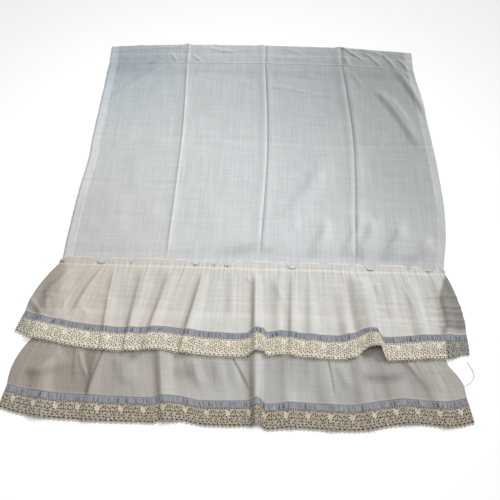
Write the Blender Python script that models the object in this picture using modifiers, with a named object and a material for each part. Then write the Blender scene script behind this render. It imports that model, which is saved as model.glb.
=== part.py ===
"""Cafe curtain laid out on a flat surface: a plain panel with a rod pocket, and two gathered
tiers, each edged with a woven band and a strip of cotton lace.

+X is the right-hand side seen from the hem, +Y runs up to the rod pocket and +Z points up from
the surface. Tables are in millimetres, measured from the middle of the pocket's top fold, and
the model is then set down with the centre of its footprint at the origin.
"""

import math
from dataclasses import dataclass

import bmesh
import bpy
import numpy as np

MM = 0.001

# Thicknesses and clearances
SHEET = 1.2
HEM_SHEET = 2.2
BAND_SHEET = 1.4
THREAD_RADIUS = 0.5
SEAM_GAP = 0.3
LAYER_GAP = 1.0
NARROWEST_COLUMN = 3.2
WIDEST_COLUMN = 14.0

# The panel
POCKET_SEAM_Y = -61.0
HEM_WIDTH = 18.0
PANEL_END_Y = -745.0
PANEL_FLAT_FROM_Y = -560.0
PANEL_FLAT_BY_Y = -597.0

# The tiers
FRILL = 17.0
LAP = 10.0
BAND_WIDTH = 11.0
LACE_WIDTH = 35.0

# The rod pocket
POCKET_HEIGHT = 8.4

# How far a layer below holds up the one that lies on it
HELD_NEAR = 7.0
HELD_FAR = 30.0

# Side edges of the panel: y, left x, right x
SIDE_EDGES = (
    (8, -385, 374),
    (-60, -380, 371),
    (-150, -380, 378),
    (-300, -386, 387),
    (-440, -388, 390),
    (-525, -388, 384),
    (-600, -389, 370),
    (-745, -388, 345),
)

# Top fold of the rod pocket: x, y
TOP_FOLD = ((-385, -9), (-320, -3), (-190, 4), (0, 7), (200, 5), (290, -2), (374, -8))

# Lower seam of the rod pocket: x, y
POCKET_SEAM = ((-385, -66), (-190, -61), (0, -57), (200, -58), (290, -63), (374, -70))

# Section of the rod pocket, once round: share of its depth from seam to fold, share of its height
POCKET_SECTION = (
    (0.02, 0.00),
    (0.25, 0.00),
    (0.50, 0.00),
    (0.75, 0.00),
    (0.97, 0.00),
    (1.00, 0.22),
    (0.97, 0.55),
    (0.87, 0.84),
    (0.68, 1.00),
    (0.32, 1.00),
    (0.14, 0.74),
    (0.04, 0.40),
    (0.00, 0.18),
)

# Ironed creases of the panel: x at the pocket, x half way, x at the frill, height, half width, up
CREASES = (
    (-187, -178, -181, 3.5, 8.0, True),
    (6, 15, 4, 2.6, 7.0, False),
    (196, 209, 195, 4.0, 8.0, False),
)

# Soft folds of the panel: start x, start y, end x, end y, bow to the left, height, half width
SOFT_FOLDS = (
    (-250, -66, -376, -172, 0, 3.0, 9.0),
    (270, -80, 378, -235, 14, 6.0, 17.0),
    (250, -130, 376, -320, 10, 4.0, 14.0),
    (-90, -600, 150, -330, -42, 6.0, 22.0),
    (100, -600, 146, -500, -6, 4.5, 15.0),
    (196, -600, 240, -495, -6, 5.0, 15.0),
    (245, -600, 300, -500, -6, 5.0, 14.0),
    (298, -600, 352, -535, -4, 4.5, 12.0),
)


@dataclass(frozen=True)
class Fold:
    """One fold of a gathered tier, running from its seam to its lower edge."""

    seam_x: float
    hem_x: float
    height: float
    half_width: float
    lean: float  # 1 puts the steep side on the right, -1 on the left
    start: float  # share of the drop where the fold begins
    end: float  # share of the drop where it has gone, over 1 when it runs on


@dataclass(frozen=True)
class Tier:
    """A gathered strip that hangs from a seam and carries a band and lace."""

    name: str
    seam_y: float
    top: float  # cloth above the seam
    rows: tuple  # distances below the seam where the solid has a row, down to the band
    hem_line: tuple  # x, y along the upper edge of the band
    seam_ends: tuple
    bow: tuple  # sideways bulge of the left and the right edge
    folds: tuple


LOWER = Tier(
    name="lower",
    seam_y=-742.0,
    top=LAP,
    rows=(-LAP, 0, 6, 24, 46, 72, 100),
    hem_line=(
        (-438, -856),
        (-404, -863),
        (-358, -868),
        (-300, -870),
        (-182, -872),
        (-166, -867),
        (-137, -867),
        (-92, -874),
        (-10, -871),
        (7, -866),
        (24, -876),
        (65, -872),
        (165, -874),
        (231, -864),
        (265, -860),
        (330, -863),
        (374, -855),
    ),
    seam_ends=(-388, 340),
    bow=(-17, 2),
    folds=(
        Fold(-352, -372, 5.0, 26, 0.2, 0.20, 9.0),
        Fold(-325, -312, 4.0, 12, -0.4, 0.15, 0.9),
        Fold(-276, -288, 6.5, 16, -0.7, 0.10, 9.0),
        Fold(-245, -212, 4.5, 18, 0.2, 0.10, 0.9),
        Fold(-178, -160, 10.0, 20, -0.7, 0.00, 9.0),
        Fold(-130, -88, 4.5, 18, 0.3, 0.10, 0.9),
        Fold(-80, -50, 4.0, 14, 0.2, 0.10, 0.9),
        Fold(-50, -18, 4.0, 12, 0.5, 0.10, 0.9),
        Fold(5, 9, 12.0, 15, -0.1, 0.00, 9.0),
        Fold(60, 66, 3.5, 16, 0.4, 0.10, 9.0),
        Fold(128, 136, 5.5, 17, 0.7, 0.10, 9.0),
        Fold(178, 200, 4.5, 18, 0.2, 0.10, 9.0),
        Fold(228, 256, 8.0, 24, 0.1, 0.15, 9.0),
        Fold(292, 322, 6.0, 18, 0.3, 0.10, 9.0),
    ),
)

UPPER = Tier(
    name="upper",
    seam_y=-618.0,
    top=FRILL,
    rows=(-FRILL, -FRILL / 2, 0, 7, 22, 45, 74, 102),
    hem_line=(
        (-438, -718),
        (-404, -729),
        (-374, -734),
        (-329, -741),
        (-250, -747),
        (-200, -745),
        (-170, -743),
        (-125, -748),
        (-41, -752),
        (-18, -751),
        (0, -743),
        (12, -742),
        (24, -749),
        (52, -744),
        (84, -748),
        (150, -751),
        (182, -745),
        (204, -737),
        (224, -737),
        (238, -751),
        (300, -746),
        (386, -740),
    ),
    seam_ends=(-392, 369),
    bow=(-6, 8),
    folds=(
        Fold(-362, -402, 4.5, 20, 0.1, 0.10, 9.0),
        Fold(-318, -370, 6.0, 18, -0.6, 0.02, 9.0),
        Fold(-284, -290, 4.5, 14, -0.6, 0.02, 9.0),
        Fold(-232, -242, 6.5, 15, -0.6, 0.02, 9.0),
        Fold(-170, -198, 7.0, 16, -0.6, 0.02, 9.0),
        Fold(-104, -132, 8.5, 19, -0.6, 0.05, 9.0),
        Fold(-46, -46, 3.0, 13, 0.4, 0.05, 0.9),
        Fold(0, 4, 10.0, 15, -0.1, 0.00, 9.0),
        Fold(44, 45, 3.5, 11, 0.6, 0.10, 9.0),
        Fold(72, 68, 4.5, 13, -0.6, 0.02, 9.0),
        Fold(106, 106, 3.5, 14, 0.0, 0.10, 9.0),
        Fold(160, 172, 4.5, 15, 0.2, 0.10, 9.0),
        Fold(200, 216, 14.0, 26, 0.45, 0.00, 9.0),
        Fold(250, 262, 3.0, 14, 0.0, 0.05, 0.9),
        Fold(294, 312, 4.0, 16, 0.4, 0.05, 9.0),
        Fold(346, 360, 5.0, 17, 0.0, 0.05, 9.0),
    ),
)

# A loose sewing thread from the upper lace round to the lower tier: x, y, z of its middle
THREAD_ROUTE = (
    (385.0, -790.4, 1.4),
    (386.4, -793.0, 0.8),
    (389.5, -799.0, 0.5),
    (392.6, -806.0, 0.5),
    (393.6, -813.0, 0.5),
    (391.6, -820.0, 0.5),
    (387.0, -826.0, 0.5),
    (381.0, -830.5, 0.5),
    (374.6, -834.2, 0.5),
    (370.6, -836.4, 0.5),
)
THREAD_STEP = 2.5

# Colours (linear), roughness
WHITE_COTTON = ((0.62, 0.64, 0.64, 1.0), 0.9)
IVORY_COTTON = ((0.66, 0.65, 0.61, 1.0), 0.9)
BLUE_BAND = ((0.20, 0.24, 0.33, 1.0), 0.85)
ECRU_LACE = ((0.55, 0.47, 0.34, 1.0), 0.95)
GREY_THREAD = ((0.45, 0.45, 0.43, 1.0), 0.8)


def smooth_through(table, at):
    """A smooth curve through the rows (place, value), without overshoot, read at the places given."""
    places, values = (np.array(column, float) for column in zip(*sorted(table)))
    at = np.clip(np.asarray(at, float), places[0], places[-1])
    slopes = np.diff(values) / np.diff(places)
    inner = np.where(slopes[:-1] * slopes[1:] > 0, 2 / (1 / (slopes[:-1] + 1e-12) + 1 / (slopes[1:] + 1e-12)), 0)
    tangent = np.concatenate(([slopes[0]], inner, [slopes[-1]]))
    i = np.clip(np.searchsorted(places, at) - 1, 0, len(places) - 2)
    span = places[i + 1] - places[i]
    t = (at - places[i]) / span
    return (
        (2 * t**3 - 3 * t**2 + 1) * values[i]
        + (t**3 - 2 * t**2 + t) * span * tangent[i]
        + (-2 * t**3 + 3 * t**2) * values[i + 1]
        + (t**3 - t**2) * span * tangent[i + 1]
    )


def ease(t):
    """0 to 1, level at both ends."""
    t = np.clip(t, 0, 1)
    return t * t * (3 - 2 * t)


def crease_height(x, y):
    """Ironed creases: a ridge where the cloth was folded up, and two low shoulders where it was folded down."""
    total = np.zeros_like(x)
    for top_x, middle_x, frill_x, height, half_width, up in CREASES:
        line = smooth_through(((POCKET_SEAM_Y, top_x), (-300, middle_x), (-600, frill_x)), y)
        away = np.abs(x - line) / half_width
        shape = np.clip(1 - away / 2, 0, 1) ** 1.5 if up else away * np.exp((1 - away**2) / 2)
        total += height * shape
    return total


def soft_fold_height(x, y):
    """Soft diagonal folds where the cloth is pulled at its corners and at the frill."""
    total = np.zeros_like(x)
    for start_x, start_y, end_x, end_y, bow, height, half_width in SOFT_FOLDS:
        run = math.hypot(end_x - start_x, end_y - start_y)
        along_x, along_y = (end_x - start_x) / run, (end_y - start_y) / run
        t = ((x - start_x) * along_x + (y - start_y) * along_y) / run
        side = (y - start_y) * along_x - (x - start_x) * along_y
        side = side - bow * 4 * t * (1 - t)
        inside = ease(t / 0.2) * ease((1.05 - t) / 0.35)
        total += height * np.exp(-((side / half_width) ** 2)) * inside
    return total


def panel_height(x, y):
    """Underside of the panel. It is flat beside the pocket's seam and under the upper tier."""
    below_pocket = ease((POCKET_SEAM_Y - 6 - y) / 40)
    above_frill = ease((y - PANEL_FLAT_BY_Y) / (PANEL_FLAT_FROM_Y - PANEL_FLAT_BY_Y))
    return (crease_height(x, y) + soft_fold_height(x, y)) * below_pocket * above_frill


def fold_profile(fold, u):
    """Cross-section of a tier's fold at hem places u, from 0 to 1."""
    left = fold.half_width * (1 + fold.lean)
    right = fold.half_width * (1 - fold.lean)
    q = np.where(u < fold.hem_x, (u - fold.hem_x) / left, (u - fold.hem_x) / right)
    return 0.5 * (1 + np.cos(np.pi * np.clip(q, -1, 1)))


def tier_plan(tier, u, w):
    """Places x, y on the surface for hem places u and distances w below the seam, and the share t of the drop."""
    ends = ((tier.hem_line[0][0], tier.seam_ends[0]), (tier.hem_line[-1][0], tier.seam_ends[1]))
    seam_x = smooth_through(ends + tuple((f.hem_x, f.seam_x) for f in tier.folds), u)
    hem_y = smooth_through(tier.hem_line, u)
    length = np.hypot(u - seam_x, hem_y - tier.seam_y)
    t = w / length
    below = np.maximum(t, 0)
    half = (tier.hem_line[-1][0] - tier.hem_line[0][0]) / 2
    middle = (tier.hem_line[-1][0] + tier.hem_line[0][0]) / 2
    side = (u - middle) / half
    bulge = np.where(side < 0, tier.bow[0], tier.bow[1]) * np.abs(side) ** 3
    swell = np.where(below < 1, 4 * below * (1 - below), -2 * (below - 1))
    x = seam_x + (u - seam_x) * below + bulge * swell
    y = np.where(w < 0, tier.seam_y - w, tier.seam_y + (hem_y - tier.seam_y) * below)
    return x, y, t, length


def tier_folds(tier, u, t):
    """Height of the tier's own folds."""
    total = np.zeros_like(u)
    for fold in tier.folds:
        rise = ease((t - fold.start) / (1.05 - fold.start)) ** 0.7
        fade = 1 - ease((t - fold.end + 0.35) / 0.35)
        total += fold.height * fold_profile(fold, u) * rise * fade
    return total


def held_up(x, y, below, near, far):
    """Height to which layers below, given as points x, y and top, hold up cloth at x, y."""
    below_x, below_y, below_top = below
    result = np.zeros(x.size)
    flat_x, flat_y = x.ravel(), y.ravel()
    for i in range(x.size):
        distance = np.hypot(below_x - flat_x[i], below_y - flat_y[i])
        result[i] = np.max(below_top * (1 - ease((distance - near) / (far - near))))
    return result.reshape(x.shape)


def panel_tail_points():
    """Top of the flat end of the panel, as points that hold up what lies on it."""
    y = np.linspace(PANEL_FLAT_BY_Y, PANEL_END_Y, 25)
    share = np.linspace(0, 1, 90)
    y, share = np.meshgrid(y, share)
    left, right = side_edges(y)
    x = left + (right - left) * share
    hem = np.minimum(x - left, right - x) < HEM_WIDTH + 2
    return x.ravel(), y.ravel(), np.where(hem, HEM_SHEET, SHEET).ravel()


def side_edges(y):
    """Left and right edge of the panel at y."""
    left = smooth_through([(row[0], row[1]) for row in SIDE_EDGES], y)
    right = smooth_through([(row[0], row[2]) for row in SIDE_EDGES], y)
    return left, right


def lower_surface(u, w):
    """Underside of the lower tier: it lies over the end of the panel and then on the floor."""
    x, y, t, _ = tier_plan(LOWER, u, w)
    tail_x, tail_y, tail_top = panel_tail_points()
    lap = held_up(x, y, (tail_x, tail_y, tail_top + SEAM_GAP), 9.0, 30.0)
    return x, y, lap + tier_folds(LOWER, u, t)


def layers_under_upper_tier():
    """Tops of the panel's end and of the lower tier, as points that hold up the upper tier."""
    tail_x, tail_y, tail_top = panel_tail_points()
    u = np.linspace(LOWER.hem_line[0][0], LOWER.hem_line[-1][0], 260)
    w = np.linspace(-LAP, 70, 22)
    u, w = np.meshgrid(u, w)
    x, y, z = lower_surface(u, w)
    top = z + SHEET + LAYER_GAP
    return (
        np.concatenate((tail_x, x.ravel())),
        np.concatenate((tail_y, y.ravel())),
        np.concatenate((tail_top + SEAM_GAP, top.ravel())),
    )


def upper_surface_on(layers):
    """The function that gives the underside of the upper tier, lying on the layers below it."""

    def surface(u, w):
        x, y, t, _ = tier_plan(UPPER, u, w)
        frill = np.clip(-w / FRILL, 0, 1)
        ruffled = 1.1 * (1 + np.sin(u * 0.19 + 1.3 * np.sin(u * 0.041))) * frill
        return x, y, held_up(x, y, layers, HELD_NEAR, HELD_FAR) + tier_folds(UPPER, u, t) + ruffled

    return surface


def tier_columns(tier):
    """Hem places where the solids have a column: the feet, flanks and crest of every fold, and the ends."""
    places = [tier.hem_line[0][0], tier.hem_line[-1][0]]
    for fold in tier.folds:
        left = fold.half_width * (1 + fold.lean)
        right = fold.half_width * (1 - fold.lean)
        places += [fold.hem_x - left * share for share in (1, 0.66, 0.33, 0)]
        places += [fold.hem_x + right * share for share in (0.5, 1)]
    places = sorted(p for p in places if tier.hem_line[0][0] <= p <= tier.hem_line[-1][0])
    kept = [places[0]]
    for place in places[1:]:
        between = math.ceil((place - kept[-1]) / WIDEST_COLUMN)
        if place - kept[-1] > NARROWEST_COLUMN or place == places[-1]:
            kept += list(np.linspace(kept[-1], place, between + 1)[1:])
    return np.array(kept)


def hem_lengths(tier, columns):
    """Length of the cloth from the seam to the band at each column."""
    return tier_plan(tier, columns, np.zeros_like(columns))[3]


def material(name, finish):
    """A plain finish: base colour and roughness."""
    colour, roughness = finish
    made = bpy.data.materials.new(name)
    made.use_nodes = True
    shader = made.node_tree.nodes["Principled BSDF"]
    shader.inputs["Base Color"].default_value = colour
    shader.inputs["Roughness"].default_value = roughness
    made.diffuse_color = colour
    return made


def shape_grid(mesh_data, points, raised=()):
    """Sets the vertices of a grid primitive on points[column, row]; those in raised also take its heights."""
    columns, rows = points.shape[:2]
    for vertex in mesh_data.verts:
        column = round((vertex.co.x + 0.5) * (columns - 1))
        row = round((vertex.co.y + 0.5) * (rows - 1))
        rise = raised[vertex][column, row] if vertex in raised else 0.0
        vertex.co = (points[column, row] + (0, 0, rise)) * MM


def new_piece(name, mesh_data, finish):
    """An object made from a finished mesh."""
    mesh = bpy.data.meshes.new(name)
    mesh_data.to_mesh(mesh)
    mesh_data.free()
    mesh.materials.append(finish)
    piece = bpy.data.objects.new(name, mesh)
    curtain.objects.link(piece)
    return piece


def make_sheet(name, underside, thickness, finish):
    """A cloth solid: a grid on the underside's points[column, row], extruded straight up by its thickness."""
    columns, rows = underside.shape[:2]
    sheet = bmesh.new()
    bmesh.ops.create_grid(sheet, x_segments=columns - 1, y_segments=rows - 1, size=0.5)
    everything = sheet.verts[:] + sheet.edges[:] + sheet.faces[:]
    upper = bmesh.ops.extrude_face_region(sheet, geom=everything, use_keep_orig=True)["geom"]
    heights = np.broadcast_to(thickness, (columns, rows))
    shape_grid(sheet, underside, {item: heights for item in upper if isinstance(item, bmesh.types.BMVert)})
    bmesh.ops.recalc_face_normals(sheet, faces=sheet.faces)
    return new_piece(name, sheet, finish)


def make_panel():
    """The plain panel, thicker along its side hems, from the pocket's seam to under the tiers."""
    inner = HEM_WIDTH + 1.5
    shares = np.linspace(0, 1, 17)[1:-1]
    creases = [crease[1] + step * crease[4] for crease in CREASES for step in (-2.6, -1, 0, 1, 2.6)]
    spaced = [x for x in -378 + shares * 756 if min(abs(x - c) for c in creases) > 14 and abs(x) < 360]
    inner_x = np.array(sorted(creases + spaced))
    rows = np.concatenate((np.linspace(-66, PANEL_FLAT_BY_Y, 22), (-640, -690, PANEL_END_Y)))
    points = []
    for y in rows:
        left, right = (float(edge) for edge in side_edges(y))
        shift = np.mean([smooth_through(((-61, c[0]), (-300, c[1]), (-600, c[2])), y) - c[1] for c in CREASES])
        squeeze = (inner_x + shift - left) / (right - left)
        between = left + (right - left) * np.clip(squeeze, 0.07, 0.93)
        x = np.concatenate(([left, left + HEM_WIDTH, left + inner], between,
                            [right - inner, right - HEM_WIDTH, right]))
        x = np.sort(x)
        line_y = np.full_like(x, y)
        if y == rows[0]:
            line_y = smooth_through(POCKET_SEAM, x) - SEAM_GAP
        points.append(np.stack((x, line_y, panel_height(x, line_y)), axis=1))
    underside = np.array(points)[::-1].transpose(1, 0, 2)
    left, right = side_edges(underside[:, :, 1])
    from_edge = np.minimum(underside[:, :, 0] - left, right - underside[:, :, 0])
    make_sheet("panel", underside, np.where(from_edge < HEM_WIDTH + 0.5, HEM_SHEET, SHEET), cotton_white)


def make_pocket():
    """The heading: the panel's top turned over into a flattened sleeve for the rod, open at both ends."""
    left, right = (float(edge) for edge in side_edges(0.0))
    stations = np.concatenate((np.linspace(left, -330, 4), np.linspace(-280, 270, 12), np.linspace(315, right, 4)))
    section = POCKET_SECTION + POCKET_SECTION[:1]
    points = np.zeros((len(stations), len(section), 3))
    for i, x in enumerate(stations):
        fold_y = smooth_through(TOP_FOLD, x)
        seam_y = smooth_through(POCKET_SEAM, x)
        for j, (deep, high) in enumerate(section):
            points[i, j] = (x, seam_y + (fold_y - seam_y) * deep, high * POCKET_HEIGHT)
    sleeve = bmesh.new()
    bmesh.ops.create_grid(sleeve, x_segments=len(stations) - 1, y_segments=len(section) - 1, size=0.5)
    shape_grid(sleeve, points)
    bmesh.ops.remove_doubles(sleeve, verts=sleeve.verts, dist=0.01 * MM)
    shell = new_piece("heading", sleeve, cotton_white).modifiers.new("Thickness", "SOLIDIFY")
    shell.thickness = SHEET * MM
    shell.offset = 1


def make_tier(tier, surface):
    """The cloth, band and lace of one tier, which follow the same folds and meet edge to edge."""
    columns = tier_columns(tier)
    lengths = hem_lengths(tier, columns)
    half_gap = SEAM_GAP / 2
    cloth_rows = [np.full_like(columns, float(row)) for row in tier.rows] + [lengths - half_gap]
    band_rows = [lengths + half_gap, lengths + BAND_WIDTH - half_gap]
    lace_rows = [lengths + BAND_WIDTH + half_gap, lengths + BAND_WIDTH + LACE_WIDTH]
    pieces = (
        ("ruffle", cloth_rows, SHEET, cotton_ivory),
        ("band", band_rows, BAND_SHEET, blue),
        ("lace", lace_rows, SHEET, ecru),
    )
    for kind, rows, thickness, finish in pieces:
        w = np.array(rows[::-1])
        u = np.broadcast_to(columns, w.shape)
        points = np.stack(surface(u, w), axis=2).transpose(1, 0, 2)
        make_sheet(f"{tier.name}_{kind}", points, thickness, finish)


def make_thread():
    """The loose thread, a thin tube through its route's points."""
    route = np.array(THREAD_ROUTE)
    along = np.concatenate(([0], np.cumsum(np.linalg.norm(np.diff(route, axis=0), axis=1))))
    at = np.linspace(0, along[-1], round(along[-1] / THREAD_STEP) + 1)
    points = np.stack([smooth_through(list(zip(along, route[:, k])), at) for k in range(3)], axis=1)
    curve = bpy.data.curves.new("loose_thread", "CURVE")
    curve.dimensions = "3D"
    curve.bevel_depth = THREAD_RADIUS * MM
    curve.bevel_resolution = 2
    curve.use_fill_caps = True
    spline = curve.splines.new("POLY")
    spline.points.add(len(points) - 1)
    for point, place in zip(spline.points, points * MM):
        point.co = (*place, 1.0)
    curve.materials.append(grey)
    piece = bpy.data.objects.new("loose_thread", curve)
    curtain.objects.link(piece)


def set_down():
    """Moves every piece so that the centre of the cloth's footprint is at the origin."""
    bpy.context.view_layer.update()
    graph = bpy.context.evaluated_depsgraph_get()
    cloth = [piece for piece in curtain.objects if piece.type == "MESH"]
    corners = np.array([corner for piece in cloth for corner in piece.evaluated_get(graph).bound_box])
    middle = (corners.min(axis=0) + corners.max(axis=0)) / 2
    for piece in curtain.objects:
        piece.location = (-middle[0], -middle[1], 0)
    print("footprint middle, mm:", np.round(middle / MM, 2), "size", np.round(np.ptp(corners, axis=0) / MM, 1))


for old in list(bpy.data.objects):
    bpy.data.objects.remove(old)
curtain = bpy.data.collections.new("Cafe curtain")
bpy.context.scene.collection.children.link(curtain)
cotton_white = material("White cotton", WHITE_COTTON)
cotton_ivory = material("Ivory cotton", IVORY_COTTON)
blue = material("Blue band", BLUE_BAND)
ecru = material("Ecru lace", ECRU_LACE)
grey = material("Grey thread", GREY_THREAD)
make_panel()
make_pocket()
make_tier(LOWER, lower_surface)
make_tier(UPPER, upper_surface_on(layers_under_upper_tier()))
make_thread()
set_down()
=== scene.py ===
"""A cafe curtain laid out on a pale surface, seen at a slant from its lace hem.

The curtain is a panel of cotton voile with a rod pocket at the top and two gathered tiers at
the foot. Each tier ends in a chambray band and a strip of ecru lace. Tables of shape are in
millimetres on the cloth's own plan, measured from the middle of the pocket's top fold.
"""

import logging
import math
from dataclasses import dataclass
from enum import Enum

import bmesh
import bpy
import numpy as np
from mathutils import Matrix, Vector, noise
from mathutils.geometry import delaunay_2d_cdt


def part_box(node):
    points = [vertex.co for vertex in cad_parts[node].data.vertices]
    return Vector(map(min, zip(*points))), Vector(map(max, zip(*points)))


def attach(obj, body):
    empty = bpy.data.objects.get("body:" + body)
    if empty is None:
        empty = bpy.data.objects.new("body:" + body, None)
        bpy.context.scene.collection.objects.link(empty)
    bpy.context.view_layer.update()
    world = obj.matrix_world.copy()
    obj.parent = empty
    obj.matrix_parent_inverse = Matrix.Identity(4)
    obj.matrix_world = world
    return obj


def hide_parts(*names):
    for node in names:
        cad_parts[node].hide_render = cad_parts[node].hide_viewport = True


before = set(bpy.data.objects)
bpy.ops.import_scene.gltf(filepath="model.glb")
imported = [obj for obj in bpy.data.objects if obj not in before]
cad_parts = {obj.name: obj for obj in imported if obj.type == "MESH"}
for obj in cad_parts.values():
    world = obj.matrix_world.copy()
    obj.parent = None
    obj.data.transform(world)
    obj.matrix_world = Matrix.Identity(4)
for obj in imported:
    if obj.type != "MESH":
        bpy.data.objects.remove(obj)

log = logging.getLogger("cafe_curtain")
logging.basicConfig(level=logging.INFO, format="%(name)s: %(message)s")

MM = 0.001
BODY = "root"
CLOTH_UV = "UVMap"
TONE_AND_PAINTED_LIGHT = "tone_and_painted_light"
WARMTH = "warmth"

# The plan's tables, in millimetres: y, left, right for the side edges, else x, y
SIDE_EDGES = (
    (8, -385, 374),
    (-60, -380, 371),
    (-150, -380, 378),
    (-300, -381, 387),
    (-350, -379, 389),
    (-440, -385, 390),
    (-525, -388, 384),
    (-600, -389, 370),
    (-745, -388, 345),
)
TOP_FOLD = ((-385, -9), (-320, -3), (-190, 4), (0, 7), (200, 5), (290, -2), (374, -8))
POCKET_SEAM = ((-385, -66), (-190, -61), (0, -57), (200, -58), (290, -63), (374, -70))
UPPER_HEM = (
    (-438, -718),
    (-404, -729),
    (-374, -734),
    (-329, -741),
    (-250, -747),
    (-200, -745),
    (-170, -743),
    (-125, -748),
    (-41, -752),
    (-18, -751),
    (-2, -741),
    (14, -740),
    (22, -748),
    (52, -744),
    (84, -748),
    (150, -751),
    (182, -745),
    (204, -737),
    (224, -737),
    (238, -751),
    (300, -746),
    (392, -740),
)
LOWER_HEM = (
    (-438, -856),
    (-404, -863),
    (-358, -868),
    (-300, -870),
    (-182, -872),
    (-166, -867),
    (-137, -867),
    (-92, -874),
    (-10, -871),
    (7, -866),
    (24, -876),
    (65, -872),
    (165, -874),
    (231, -864),
    (265, -860),
    (330, -863),
    (374, -855),
)
THREAD_ROUTE = (
    (385.0, -790.4, 1.4),
    (386.4, -793.0, 0.8),
    (389.5, -799.0, 0.5),
    (392.6, -806.0, 0.5),
    (393.6, -813.0, 0.5),
    (391.6, -820.0, 0.5),
    (387.0, -826.0, 0.5),
    (381.0, -830.5, 0.5),
    (374.6, -834.2, 0.5),
    (370.6, -836.4, 0.5),
)


class Opening(Enum):
    """The lace's kinds of opening, by the number of corners that draw one."""

    ROUND = 6
    LOOP = 10


def smooth_through(table: object, at: object) -> np.ndarray:
    """Reads a smooth curve without overshoot.

    Args:
        table: Rows of (place, value).
        at: The places to read.

    Returns:
        The curve's values there.
    """
    places, values = (np.array(column, float) for column in zip(*sorted(table)))
    at = np.clip(np.asarray(at, float), places[0], places[-1])
    slopes = np.diff(values) / np.diff(places)
    harmonic = 2 / (1 / (slopes[:-1] + 1e-12) + 1 / (slopes[1:] + 1e-12))
    tangent = np.concatenate(([slopes[0]], np.where(slopes[:-1] * slopes[1:] > 0, harmonic, 0), [slopes[-1]]))
    i = np.clip(np.searchsorted(places, at) - 1, 0, len(places) - 2)
    span = places[i + 1] - places[i]
    t = (at - places[i]) / span
    return (
        (2 * t**3 - 3 * t**2 + 1) * values[i]
        + (t**3 - 2 * t**2 + t) * span * tangent[i]
        + (-2 * t**3 + 3 * t**2) * values[i + 1]
        + (t**3 - t**2) * span * tangent[i + 1]
    )


def ease(t: np.ndarray) -> np.ndarray:
    """Goes from 0 to 1, level at both ends."""
    t = np.clip(t, 0, 1)
    return t * t * (3 - 2 * t)


def bell(away: np.ndarray) -> np.ndarray:
    """A soft ridge of height 1, by the distance from its crest in half widths."""
    return np.exp(-(away**2))


def tent(away: np.ndarray) -> np.ndarray:
    """A sharp ridge of height 1, by the distance from its crest in half widths."""
    return np.clip(1 - np.abs(away), 0, 1)


def ripple(x: np.ndarray, y: np.ndarray, wavelength: float, seed: float) -> np.ndarray:
    """Smooth noise over the plan.

    Args:
        x: Places across, in millimetres.
        y: Places along, in millimetres.
        wavelength: Size of the ripples, in millimetres.
        seed: Picks the pattern.

    Returns:
        Values from about -1 to 1.
    """
    values = [
        noise.noise(Vector((px / wavelength, py / wavelength, seed)))
        for px, py in zip(np.ravel(x), np.ravel(y))
    ]
    return np.reshape(values, np.shape(x))


def facing_light(x: np.ndarray, y: np.ndarray, z: np.ndarray) -> np.ndarray:
    """How far a sheet's slopes face the slanting light.

    Args:
        x: Places across, by column and row.
        y: Places along, by column and row.
        z: Heights.

    Returns:
        Values from -1 on the shaded side of a fold to 1 on its lit side.
    """
    step_x, step_y = np.gradient(x, axis=0), np.gradient(y, axis=1)
    slope_x = np.gradient(z, axis=0) / np.where(np.abs(step_x) < 0.3, 0.3, step_x)
    slope_y = np.gradient(z, axis=1) / np.where(np.abs(step_y) < 0.3, 0.3, step_y)
    return np.clip(-3.0 * (0.76 * slope_x + 0.65 * slope_y), -1, 1)


def plan_shift() -> np.ndarray:
    """Shift from the plan's zero to the frame's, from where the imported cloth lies.

    Returns:
        Millimetres to add to a place on the plan.
    """
    left = smooth_through([(row[0], row[1]) for row in SIDE_EDGES], 0.0)
    end = SIDE_EDGES[-1][0]
    return np.array([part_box("heading")[0].x / MM - left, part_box("panel")[0].y / MM - end, 0.0])


SHIFT = plan_shift()


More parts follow.
